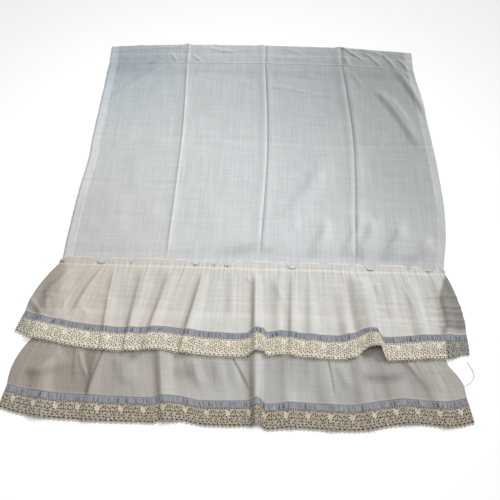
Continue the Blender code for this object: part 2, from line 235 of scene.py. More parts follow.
class Bench:
    """Adds nodes to one material."""

    def __init__(self, name: str, roughness: float) -> None:
        """Starts a material.

        Args:
            name: The material's name.
            roughness: The shader's roughness.
        """
        self.material = bpy.data.materials.new(name)
        self.material.use_nodes = True
        self.tree = self.material.node_tree
        self.shader = self.tree.nodes["Principled BSDF"]
        self.shader.inputs["Roughness"].default_value = roughness

    def node(self, kind: str, links: dict | None = None, **values: object) -> bpy.types.Node:
        """Adds a node.

        Args:
            kind: The node's type.
            links: Sockets to feed, by input name or number.
            values: Attributes of the node, or inputs named with underscores for spaces.

        Returns:
            The node.
        """
        made = self.tree.nodes.new(kind)
        for name, value in values.items():
            if hasattr(made, name):
                setattr(made, name, value)
            else:
                made.inputs[name.replace("_", " ")].default_value = value
        for socket, source in (links or {}).items():
            self.tree.links.new(source, made.inputs[socket])
        return made

    def cloth(self) -> bpy.types.NodeSocket:
        """The place on the flat cloth, in metres."""
        return self.node("ShaderNodeUVMap", uv_map=CLOTH_UV).outputs[0]

    def attribute(self, name: str) -> bpy.types.NodeSocket:
        """A number kept on the mesh."""
        return self.node("ShaderNodeAttribute", attribute_name=name).outputs[2]

    def math(self, operation: str, *terms: object) -> bpy.types.NodeSocket:
        """Combines numbers or sockets.

        Args:
            operation: The Math node's operation.
            terms: One to three numbers or sockets.

        Returns:
            The result's socket.
        """
        made = self.tree.nodes.new("ShaderNodeMath")
        made.operation = operation
        for place, term in enumerate(terms):
            if isinstance(term, (int, float)):
                made.inputs[place].default_value = term
            else:
                self.tree.links.new(term, made.inputs[place])
        return made.outputs[0]

    def noise(self, vector: bpy.types.NodeSocket, scale: tuple, detail: float = 2.0) -> bpy.types.NodeSocket:
        """Noise stretched by a scale along each axis.

        Args:
            vector: The place.
            scale: Waves per metre along each axis.
            detail: Octaves.

        Returns:
            The noise's socket.
        """
        mapping = self.node("ShaderNodeMapping", {"Vector": vector}, vector_type="POINT")
        mapping.inputs["Scale"].default_value = scale
        texture = self.node("ShaderNodeTexNoise", {"Vector": mapping.outputs[0]}, Scale=1.0, Detail=detail)
        return texture.outputs[0]

    def blend(self, factor: object, first: object, second: object, mode: str = "MIX") -> bpy.types.NodeSocket:
        """Mixes two colours.

        Args:
            factor: Share of the second, a number or a socket.
            first: A colour tuple or a socket.
            second: A colour tuple or a socket.
            mode: The Mix node's way of blending.

        Returns:
            The colour's socket.
        """
        made = self.tree.nodes.new("ShaderNodeMix")
        made.data_type = "RGBA"
        made.blend_type = mode
        for place, term in ((0, factor), (6, first), (7, second)):
            if isinstance(term, bpy.types.NodeSocket):
                self.tree.links.new(term, made.inputs[place])
            elif isinstance(term, tuple):
                made.inputs[place].default_value = (*term, 1.0)
            else:
                made.inputs[place].default_value = term
        return made.outputs[2]

    def shade(self, colour: bpy.types.NodeSocket, tone: bpy.types.NodeSocket) -> bpy.types.NodeSocket:
        """Multiplies a colour by a tone."""
        grey = self.node("ShaderNodeCombineColor", {0: tone, 1: tone, 2: tone}).outputs[0]
        return self.blend(1.0, colour, grey, "MULTIPLY")

    def ramp(self, value: bpy.types.NodeSocket, low: float, high: float) -> bpy.types.NodeSocket:
        """Takes a value to 0 at low and 1 at high."""
        return self.node("ShaderNodeMapRange", {"Value": value}, From_Min=low, From_Max=high).outputs[0]

    def finish(
        self, colour: bpy.types.NodeSocket, height: bpy.types.NodeSocket, depth: float
    ) -> bpy.types.Material:
        """Links colour and bump to the shader.

        Args:
            colour: The base colour.
            height: The bump's height, from 0 to 1.
            depth: The bump's depth in metres.

        Returns:
            The material.
        """
        bump = self.node("ShaderNodeBump", {"Height": height}, Strength=1.0, Distance=depth)
        self.tree.links.new(colour, self.shader.inputs["Base Color"])
        self.tree.links.new(bump.outputs[0], self.shader.inputs["Normal"])
        return self.material


@dataclass(frozen=True)
class Voile:
    """Thin plain-woven cotton, darker as a single layer than over other cloth, with painted light and shade
    in its colour.
    """

    name: str
    single: tuple
    double: tuple
    warm: tuple = (0.86, 0.78, 0.71)
    cool: tuple = (0.82, 0.95, 1.0)
    slub: float = 0.30
    roughness: float = 0.9
    sheen: float = 0.06
    bump: float = 0.0007

    def material(self) -> bpy.types.Material:
        """Weave, slubs, layers, painted light and shade, warm and cool parts and small puckers.

        Returns:
            The material.
        """
        bench = Bench(self.name, self.roughness)
        bench.shader.inputs["Sheen Weight"].default_value = self.sheen
        bench.shader.inputs["Sheen Roughness"].default_value = 0.6
        cloth = bench.cloth()
        weft = bench.noise(cloth, (12, 260, 1), 3.0)
        warp = bench.noise(cloth, (260, 9, 1), 3.0)
        mottle = bench.noise(cloth, (22, 22, 1), 3.0)
        threads = bench.math("ADD", bench.math("MULTIPLY", weft, 0.8), bench.math("MULTIPLY", warp, 1.2))
        tone = bench.math("MULTIPLY_ADD", threads, self.slub, 1 - self.slub)
        tone = bench.math("MULTIPLY_ADD", mottle, 0.10, bench.math("SUBTRACT", tone, 0.05))
        # The tone attribute blends the single and double layer colours and carries painted light and shade of
        # folds, creases and seams.
        colour = bench.blend(bench.attribute(TONE_AND_PAINTED_LIGHT), self.single, self.double)
        # Warmth also carries a painted warm shade on the shaded sides of the tiers' folds.
        warmth = bench.attribute(WARMTH)
        tint = bench.blend(warmth, (1.0, 1.0, 1.0), self.warm)
        tint = bench.blend(bench.math("MULTIPLY", warmth, -1.0), tint, self.cool)
        colour = bench.shade(bench.blend(1.0, colour, tint, "MULTIPLY"), tone)
        puckers = bench.noise(cloth, (90, 60, 1), 4.0)
        height = bench.math("MULTIPLY_ADD", threads, 0.15, puckers)
        return bench.finish(colour, height, self.bump)


@dataclass(frozen=True)
class Chambray:
    """Woven band in grey blue with pale and dark streaks across it."""

    name: str = "chambray_band"
    width: float = 11.0
    base: tuple = (0.195, 0.205, 0.245)
    pale: tuple = (0.31, 0.32, 0.36)
    dark: tuple = (0.06, 0.065, 0.08)
    selvedge: float = 0.45
    roughness: float = 0.85
    bump: float = 0.0003

    def material(self) -> bpy.types.Material:
        """Streaks across the band and a darker selvedge at each edge.

        Returns:
            The material.
        """
        bench = Bench(self.name, self.roughness)
        cloth = bench.cloth()
        fine = bench.noise(cloth, (620, 60, 1), 1.0)
        ticks = bench.noise(cloth, (280, 30, 1), 2.0)
        rows = bench.noise(cloth, (40, 700, 1), 1.0)
        colour = bench.blend(bench.ramp(fine, 0.42, 0.68), self.base, self.pale)
        colour = bench.blend(bench.ramp(ticks, 0.50, 0.68), colour, self.dark)
        place = bench.node("ShaderNodeSeparateXYZ", {0: cloth}).outputs[1]
        from_middle = bench.math("ABSOLUTE", bench.math("SUBTRACT", place, self.width * MM / 2))
        edge = bench.ramp(from_middle, (self.width / 2 - 2.0) * MM, (self.width / 2 - 0.3) * MM)
        colour = bench.blend(bench.math("MULTIPLY", edge, self.selvedge), colour, self.dark)
        return bench.finish(colour, bench.math("ADD", fine, rows), self.bump)


@dataclass(frozen=True)
class LaceCotton:
    """Matt ecru thread with painted shade down in the openings, lighter where the work is close."""

    name: str
    thread: tuple
    close_work: tuple
    painted_hole_shade_pale: tuple
    painted_hole_shade_dark: tuple = (0.012, 0.010, 0.008)
    greyed: tuple = (0.25, 0.245, 0.225)
    pitch: float = 0.9
    roughness: float = 0.95
    bump: float = 0.0004

    def material(self) -> bpy.types.Material:
        """Cloth stitch both ways, twisted threads, uneven tea colour and painted shade in the openings.

        Returns:
            The material.
        """
        bench = Bench(self.name, self.roughness)
        cloth = bench.cloth()
        mottle = bench.noise(cloth, (45, 45, 1), 3.0)
        patches = bench.noise(cloth, (85, 85, 1), 2.0)
        twist = bench.noise(cloth, (900, 900, 1), 2.0)
        split = bench.node("ShaderNodeSeparateXYZ", {0: cloth})
        turns = 2 * math.pi / (self.pitch * MM)
        across = bench.math("SINE", bench.math("MULTIPLY", split.outputs[0], turns))
        along = bench.math("SINE", bench.math("MULTIPLY", split.outputs[1], turns))
        weave = bench.math("MULTIPLY", across, along)
        # Low raised values round each opening paint shade there; warmth sets how dark that painted shade is,
        # paler where the lace lies over cloth.
        raised = bench.attribute(TONE_AND_PAINTED_LIGHT)
        dark = bench.attribute(WARMTH)
        shade = bench.blend(dark, self.painted_hole_shade_pale, self.painted_hole_shade_dark)
        shade = bench.blend(bench.math("MULTIPLY", bench.ramp(patches, 0.50, 0.72), 0.4), shade, self.thread)
        thread = bench.blend(bench.ramp(raised, 0.76, 1.0), self.thread, self.close_work)
        thread = bench.blend(bench.math("MULTIPLY", bench.ramp(dark, 1.0, 2.0), 0.75), thread, self.greyed)
        colour = bench.blend(bench.ramp(raised, 0.50, 0.70), shade, thread)
        speckle = bench.ramp(bench.noise(cloth, (330, 330, 1), 2.0), 0.36, 0.64)
        tone = bench.math("MULTIPLY_ADD", mottle, 0.40, 0.80)
        tone = bench.math("MULTIPLY", tone, bench.math("MULTIPLY_ADD", speckle, 0.50, 0.75))
        tone = bench.math("MULTIPLY_ADD", weave, 0.06, tone)
        height = bench.math("ADD", twist, bench.math("MULTIPLY", weave, 0.5))
        return bench.finish(bench.shade(colour, tone), height, self.bump)


@dataclass(frozen=True)
class SewingThread:
    """Fine twisted thread."""

    name: str
    colour: tuple
    roughness: float = 0.7
    bump: float = 0.0001

    def material(self) -> bpy.types.Material:
        """Small light and dark turns along the thread.

        Returns:
            The material.
        """
        bench = Bench(self.name, self.roughness)
        place = bench.node("ShaderNodeTexCoord").outputs["Object"]
        twist = bench.noise(place, (1500, 1500, 1500), 1.0)
        darker = tuple(0.75 * value for value in self.colour)
        return bench.finish(bench.blend(twist, darker, self.colour), twist, self.bump)


@dataclass(frozen=True)
class PaleFloor:
    """The plain pale surface under the curtain."""

    name: str = "pale_floor"
    colour: tuple = (0.95, 0.95, 0.95)
    roughness: float = 0.8
    bump: float = 0.00002

    def material(self) -> bpy.types.Material:
        """An even pale finish.

        Returns:
            The material.
        """
        bench = Bench(self.name, self.roughness)
        place = bench.node("ShaderNodeTexCoord").outputs["Object"]
        cloud = bench.noise(place, (1.2, 1.2, 1.2), 2.0)
        slightly = tuple(0.99 * value for value in self.colour)
        return bench.finish(bench.blend(cloud, slightly, self.colour), cloud, self.bump)


def deselect() -> None:
    """Leaves object mode with nothing selected."""
    if bpy.context.object and bpy.context.object.mode != "OBJECT":
        bpy.ops.object.mode_set(mode="OBJECT")
    bpy.ops.object.select_all(action="DESELECT")


def apply_modifier(piece: bpy.types.Object, kind: str, **values: object) -> None:
    """Adds a modifier to a piece and applies it.

    Args:
        piece: The piece.
        kind: The modifier's type.
        values: Its settings.
    """
    deselect()
    bpy.context.view_layer.objects.active = piece
    piece.select_set(True)
    bpy.ops.object.modifier_add(type=kind)
    modifier = piece.modifiers[-1]
    for name, value in values.items():
        setattr(modifier, name, value)
    bpy.ops.object.modifier_apply(modifier=modifier.name)


def weld(mesh: bpy.types.Mesh, distance: float) -> None:
    """Merges points of a mesh that lie together.

    Args:
        mesh: The mesh.
        distance: How close they lie, in millimetres.
    """
    shape = bmesh.new()
    shape.from_mesh(mesh)
    bmesh.ops.remove_doubles(shape, verts=shape.verts, dist=distance * MM)
    shape.to_mesh(mesh)
    shape.free()


def hand_over(piece: bpy.types.Object, slot: str, finish: bpy.types.Material, *nodes: str) -> None:
    """Dresses a piece and puts it on the part's body.

    Args:
        piece: The piece.
        slot: The record's material slot; not used.
        finish: Its material.
        nodes: The CAD nodes that it stands for.
    """
    piece.data.materials.clear()
    piece.data.materials.append(finish)
    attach(piece, BODY)
    if nodes:
        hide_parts(*nodes)
    log.info("%s: %d faces", piece.name, len(getattr(piece.data, "polygons", ())))


@dataclass
class SheetGrid:
    """A sheet of cloth as columns and rows of points, in millimetres on the plan."""

    places: np.ndarray
    cloth: np.ndarray
    tone_and_painted_light: np.ndarray
    warmth: np.ndarray
    thickness: float

    def piece(self, name: str, joined: bool = False) -> bpy.types.Object:
        """Shapes a grid primitive into the sheet and gives it its thickness.

        Args:
            name: The piece's name.
            joined: Whether the last row meets the first, as in a sleeve.

        Returns:
            The piece.
        """
        columns, rows = self.places.shape[:2]
        deselect()
        bpy.ops.mesh.primitive_grid_add(x_subdivisions=columns - 1, y_subdivisions=rows - 1, size=1.0)
        made = bpy.context.object
        made.name = name
        mesh = made.data
        flat = np.zeros(len(mesh.vertices) * 3, np.float32)
        mesh.vertices.foreach_get("co", flat)
        flat = flat.reshape(-1, 3)
        column = np.rint((flat[:, 0] + 0.5) * (columns - 1)).astype(int)
        row = np.rint((flat[:, 1] + 0.5) * (rows - 1)).astype(int)
        shaped = (self.places[column, row] + SHIFT) * MM
        mesh.vertices.foreach_set("co", shaped.astype(np.float32).ravel())
        corner = np.zeros(len(mesh.loops), np.int32)
        mesh.loops.foreach_get("vertex_index", corner)
        on_cloth = self.cloth[column, row][corner] * MM
        mesh.uv_layers.active.name = CLOTH_UV
        mesh.uv_layers[CLOTH_UV].data.foreach_set("uv", on_cloth.astype(np.float32).ravel())
        for attribute, values in ((TONE_AND_PAINTED_LIGHT, self.tone_and_painted_light), (WARMTH, self.warmth)):
            layer = mesh.attributes.new(attribute, "FLOAT", "POINT")
            layer.data.foreach_set("value", values[column, row].astype(np.float32))
        mesh.update()
        if joined:
            weld(mesh, 0.01)
        apply_modifier(made, "SOLIDIFY", thickness=self.thickness * MM, offset=0.0)
        mesh.shade_smooth()
        return made


@dataclass(frozen=True)
class Wrinkle:
    """A fold from one place on the plan to another, with a sideways bow and a steeper side."""

    start: tuple
    end: tuple
    height: float
    half_width: float
    bow: float = 0.0
    steep: float = 0.0

    def relief(self, x: np.ndarray, y: np.ndarray) -> np.ndarray:
        """Height of the fold at places on the plan.

        Args:
            x: Places across, in millimetres.
            y: Places along, in millimetres.

        Returns:
            Heights in millimetres.
        """
        run = math.dist(self.start, self.end)
        along_x = (self.end[0] - self.start[0]) / run
        along_y = (self.end[1] - self.start[1]) / run
        t = ((x - self.start[0]) * along_x + (y - self.start[1]) * along_y) / run
        side = (y - self.start[1]) * along_x - (x - self.start[0]) * along_y
        side = side - self.bow * 4 * t * (1 - t)
        width = self.half_width * np.where(side < 0, 1 + self.steep, 1 - self.steep)
        inside = ease(t / 0.2) * ease((1.05 - t) / 0.35)
        return self.height * bell(side / width) * inside


def wrinkled(wrinkles: tuple, x: np.ndarray, y: np.ndarray) -> np.ndarray:
    """Height of several wrinkles together."""
    return sum((wrinkle.relief(x, y) for wrinkle in wrinkles), np.zeros_like(x))


@dataclass
class StitchRow:
    """A row of lockstitches along a line on the cloth."""

    pitch: float = 3.2
    length: float = 2.7
    width: float = 0.6
    height: float = 0.5

    @staticmethod
    def stitch() -> tuple:
        """Shapes one stitch as a lengthened ball.

        Returns:
            Its points within a unit cube, and its faces.
        """
        deselect()
        bpy.ops.mesh.primitive_uv_sphere_add(segments=6, ring_count=4, radius=0.5)
        ball = bpy.context.object
        bpy.ops.object.mode_set(mode="EDIT")
        bpy.ops.mesh.select_all(action="SELECT")
        bpy.ops.transform.rotate(value=math.pi / 2, orient_axis="Y", center_override=(0, 0, 0))
        bpy.ops.object.mode_set(mode="OBJECT")
        points = np.array([tuple(vertex.co) for vertex in ball.data.vertices])
        faces = [tuple(face.vertices) for face in ball.data.polygons]
        bpy.data.objects.remove(ball)
        return points, faces

    def sew(self, name: str, lines: list, finish: bpy.types.Material) -> bpy.types.Object:
        """Copies the stitch along each line.

        Args:
            name: The piece's name.
            lines: Lines of points on the cloth, in millimetres on the plan.
            finish: The thread.

        Returns:
            The piece.
        """
        ball, ball_faces = self.stitch()
        half = self.length / 2
        all_points, all_faces = [], []
        for line in lines:
            walked = np.concatenate(([0], np.cumsum(np.linalg.norm(np.diff(line, axis=0), axis=1))))
            for middle in np.arange(self.pitch, walked[-1] - self.pitch / 2, self.pitch):
                ends = [
                    np.array([np.interp(middle + side * half, walked, line[:, k]) for k in range(3)])
                    for side in (-1, 1)
                ]
                along = (ends[1] - ends[0]) / np.linalg.norm(ends[1] - ends[0])
                across = np.cross((0, 0, 1), along)
                across /= np.linalg.norm(across)
                up = np.cross(along, across)
                size = ball * (self.length, self.width, self.height)
                start = len(all_points) * len(ball)
                all_points.append((ends[0] + ends[1]) / 2 + size @ np.stack((along, across, up)))
                all_faces += [tuple(start + k for k in face) for face in ball_faces]
        mesh = bpy.data.meshes.new(name)
        mesh.from_pydata(((np.concatenate(all_points) + SHIFT) * MM).tolist(), [], all_faces)
        mesh.shade_smooth()
        piece = bpy.data.objects.new(name, mesh)
        bpy.context.scene.collection.objects.link(piece)
        hand_over(piece, "sewing_thread", finish)
        return piece


@dataclass(frozen=True)
class Crease:
    """An ironed crease down the panel."""

    pocket_x: float
    middle_x: float
    frill_x: float
    height: float
    half_width: float
    up: bool
    shaded_side: float
    lit: float

    def x_at(self, y: np.ndarray) -> np.ndarray:
        """Where the crease runs at y."""
        route = ((-61, self.pocket_x), (-300, self.middle_x), (-600, self.frill_x))
        return smooth_through(route, y)

    def tone(self, x: np.ndarray, y: np.ndarray) -> np.ndarray:
        """A thin dark line on the crease's shaded side and a light one on the other."""
        away = (x - self.x_at(y)) * self.shaded_side
        return self.lit * bell((away + 1.8) / 1.5) - 0.26 * bell((away - 1.4) / 1.4)


@dataclass
class Panel:
    """The plain width of voile with its side hems."""

    seam_y: float = -61.0
    end_y: float = -745.0
    flat_from: float = -560.0
    flat_by: float = -597.0
    hem: float = 18.0
    finished_width: float = 762.0
    cut_length_m: float = 0.70
    thickness: float = 0.5
    lift: float = 0.6
    row_step: float = 4.4
    creases: tuple = (
        Crease(-187, -178, -181, 3.5, 8.0, True, -1.0, 0.24),
        Crease(6, 15, 4, 2.6, 7.0, False, 1.0, 0.10),
        Crease(196, 209, 195, 4.0, 8.0, False, 1.0, 0.0),
    )
    crease_share: float = 0.45
    wrinkles: tuple = (
        Wrinkle((-236, -66), (-366, -190), 3.2, 6.0, 0, 0.4),
        Wrinkle((316, -56), (384, -226), 6.0, 9.0, 7, -0.45),
        Wrinkle((268, -132), (358, -322), 5.0, 11.0, 8, -0.4),
        Wrinkle((330, -64), (364, -104), 2.2, 4.0, 0, -0.3),
        Wrinkle((-90, -600), (150, -330), 6.5, 18.0, -42),
        Wrinkle((100, -600), (146, -500), 6.0, 12.0, -6),
        Wrinkle((196, -600), (240, -495), 7.0, 12.0, -6),
        Wrinkle((245, -600), (300, -500), 7.0, 11.0, -6),
        Wrinkle((298, -600), (352, -535), 6.5, 10.0, -4),
        Wrinkle((9, -585), (92, -500), 4.0, 9.0, -5),
        Wrinkle((165, -590), (220, -480), 4.0, 9.0, -5),
        Wrinkle((-176, -86), (-40, -86), 1.3, 4.0, 4),
        Wrinkle((-165, -100), (-70, -106), 1.0, 4.0, -4),
        Wrinkle((-120, -124), (-20, -118), 0.8, 4.0, 3),
        Wrinkle((10, -78), (190, -76), 1.2, 4.0, -4),
        Wrinkle((18, -134), (120, -154), 1.4, 4.0, 3),
        Wrinkle((110, -150), (190, -160), 1.0, 4.0, -3),
        Wrinkle((60, -92), (160, -106), 1.1, 4.0, 3),
        Wrinkle((30, -110), (110, -116), 0.9, 4.0, -3),
        Wrinkle((212, -78), (240, -130), 1.8, 4.0, 3),
        Wrinkle((300, -160), (344, -250), 2.0, 5.0, 3, -0.3),
    )
    rib_pitch: float = 7.5
    painted_fold_light: float = 0.22

    @staticmethod
    def edges(y: np.ndarray) -> tuple:
        """Left and right edge of the panel at y.

        Args:
            y: Places along, in millimetres.

        Returns:
            x of the left edge and of the right edge.
        """
        left = smooth_through([(row[0], row[1]) for row in SIDE_EDGES], y)
        right = smooth_through([(row[0], row[2]) for row in SIDE_EDGES], y)
        return left, right

    def crease_height(self, x: np.ndarray, y: np.ndarray) -> np.ndarray:
        """Height of the ironed creases, as ridges or as troughs between low shoulders.

        Args:
            x: Places across, in millimetres.
            y: Places along, in millimetres.

        Returns:
            Heights in millimetres.
        """
        total = np.zeros_like(x)
        for crease in self.creases:
            away = (x - crease.x_at(y)) / crease.half_width
            ridge = np.clip(1 - np.abs(away) / 2, 0, 1) ** 1.5
            trough = np.abs(away) * np.exp((1 - away**2) / 2)
            total += self.crease_share * crease.height * (ridge if crease.up else trough)
            total += (1.0 if crease.up else -0.9) * tent(away * crease.half_width / 4.5)
        return total

    def height(self, x: np.ndarray, y: np.ndarray) -> np.ndarray:
        """Underside of the panel over the floor.

        Args:
            x: Places across, in millimetres.
            y: Places along, in millimetres.

        Returns:
            Heights in millimetres.
        """
        below_pocket = ease((self.seam_y - 2 - y) / 30)
        above_frill = ease((y - self.flat_by) / (self.flat_from - self.flat_by))
        creased = 1.0 + self.crease_height(x, y)
        return (creased + wrinkled(self.wrinkles, x, y)) * (0.35 + 0.65 * below_pocket) * above_frill

    def fine_relief(self, x: np.ndarray, y: np.ndarray) -> np.ndarray:
        """Small waves, hem puckers and the faint cross creases.

        Args:
            x: Places across, in millimetres.
            y: Places along, in millimetres.

        Returns:
            Heights in millimetres.
        """
        open_cloth = ease((self.seam_y - 2 - y) / 24) * ease((y - self.flat_by) / 25)
        waves = 1.2 * ripple(x, y * 0.6, 85.0, 3.0) + 0.55 * ripple(x, y, 26.0, 8.0)
        cross = -0.9 * tent((y + 300 + 6 * np.sin(x / 130)) / 5.0)
        lower_left = ease((-20 - x) / 80)
        for place in (-420, -505):
            cross = cross - 0.5 * tent((y - place) / 5.0) * lower_left
        return (1.0 + waves + cross) * open_cloth

    def columns(self) -> np.ndarray:
        """Columns at the pocket's seam, close together at creases and at the hems' edges.

        Returns:
            Places across.
        """
        left, right = (float(edge) for edge in self.edges(np.array(self.seam_y)))
        lines = [crease.pocket_x for crease in self.creases] + [left + self.hem, right - self.hem]
        found = [left]
        while found[-1] < right - 0.6:
            near = min(abs(found[-1] - line) for line in lines)
            found.append(found[-1] + (1.2 if near < 5.5 else 2.4 if near < 14 else 4.4))
        return np.array(found[:-1] + [right])

    def places(self) -> tuple:
        """Columns and rows of the sheet on the plan.

        Returns:
            x and y by column and row.
        """
        y = np.linspace(self.seam_y, self.end_y, round((self.seam_y - self.end_y) / self.row_step))[::-1]
        marks = [float(edge) for edge in self.edges(np.array(self.seam_y))]
        columns = self.columns()
        fixed = [marks[0]] + [crease.pocket_x for crease in self.creases] + [marks[1]]
        x = np.zeros((len(columns), len(y)))
        for row, here in enumerate(y):
            left, right = (float(edge) for edge in self.edges(np.array(here)))
            moved = [left] + [float(crease.x_at(np.array(here))) for crease in self.creases] + [right]
            x[:, row] = np.interp(columns, fixed, moved)
        y = np.repeat(y[None, :], len(columns), axis=0)
        top = smooth_through(POCKET_SEAM, x) + 0.8
        return x, y + (top - self.seam_y) * ease((y + 140) / (self.seam_y + 140))

    def surface(self, x: np.ndarray, y: np.ndarray) -> np.ndarray:
        """The sheet's middle, in millimetres over the floor.

        Args:
            x: Places across, in millimetres.
            y: Places along, in millimetres.

        Returns:
            Heights in millimetres.
        """
        left, right = self.edges(y)
        from_edge = np.minimum(x - left, right - x)
        in_hem = ease((self.hem + 0.6 - from_edge) / 1.2)
        pucker = 0.25 * np.sin(y * 1.25) * bell((from_edge - self.hem) / 2.5)
        ribbed = bell((right - x - 14) / 12) * bell((y + 165) / 62)
        pucker = pucker + 0.8 * np.sin(2 * np.pi * y / self.rib_pitch) * ribbed
        return self.height(x, y) + self.fine_relief(x, y) + self.lift + 0.45 * in_hem + pucker

    def tone_and_painted_light(self, x: np.ndarray, y: np.ndarray) -> np.ndarray:
        """How light the voile looks: hems and the middle are lighter, the upper right darker as painted
        shade, with painted shade and highlight lines at the creases.

        Args:
            x: Places across, in millimetres.
            y: Places along, in millimetres.

        Returns:
            Tones, from 0 for a single layer to 1 for cloth on cloth, with painted light and shade added.
        """
        left, right = self.edges(y)
        in_hem = ease((self.hem + 0.6 - np.minimum(x - left, right - x)) / 1.2)
        down = ease((-130 - y) / 220)
        upper_right = ease(1.1 - np.hypot((x - 400) / 520, (y + 60) / 600))
        lower_right = ease((x - 150) / 200) * ease((-200 - y) / 150)
        upper_left = ease(1.0 - np.hypot((x + 400) / 330, (y + 40) / 130))
        # Broad tones, in part painted light and shade: lighter lower down, darker most of all at the upper
        # right, also at the lower right, the upper left, towards the left and just below the pocket.
        tone = 0.60 + 0.17 * down - 0.48 * upper_right - 0.17 * lower_right - 0.28 * upper_left
        tone = tone - 0.09 * ease((-150 - x) / 200) - 0.13 * bell((y + 82) / 22)
        # Painted shade and highlight lines along the creases.
        tone = tone + sum(crease.tone(x, y) for crease in self.creases)
        return tone + (0.34 - 0.20 * ease((-380 - y) / 150)) * in_hem

    @staticmethod
    def warmth(x: np.ndarray, y: np.ndarray) -> np.ndarray:
        """How warm the voile looks: warmest at the lower left, coolest at the upper left.

        Args:
            x: Places across, in millimetres.
            y: Places along, in millimetres.

        Returns:
            Tones, below 0 where the cloth is cool.
        """
        lower_left = ease(1.2 - np.hypot(x + 420, y + 640) / 380)
        upper_left = ease(1.0 - np.hypot(x + 330, y + 60) / 230)
        right = ease((x - 100) / 250)
        return 0.42 * lower_left - 0.62 * upper_left + 0.22 * right

    def build(self, finish: bpy.types.Material) -> bpy.types.Object:
        """Makes the panel.

        Args:
            finish: The voile.

        Returns:
            The piece.
        """
        x, y = self.places()
        z = self.surface(x, y)
        places = np.stack((x, y, z), axis=2)
        cloth = np.stack((x, y), axis=2)
        # Painted light and shade: slopes facing the slanting light lighter, slopes facing away darker.
        tone_and_painted_light = self.tone_and_painted_light(x, y) + self.painted_fold_light * facing_light(x, y, z)
        grid = SheetGrid(places, cloth, tone_and_painted_light, self.warmth(x, y), self.thickness)
        piece = grid.piece("panel_voile")
        hand_over(piece, "panel_cotton", finish, "panel")
        return piece

    def hem_lines(self) -> list:
        """Lines of the side hems' stitches.

        Returns:
            Two lines of points.
        """
        y = np.arange(self.seam_y - 4, self.flat_by + 1, -2.0)
        left, right = self.edges(y)
        inset = self.hem - 1.6
        return [
            np.stack((x, y, self.surface(x, y) + self.thickness / 2), axis=1)
            for x in (left + inset, right - inset)
        ]


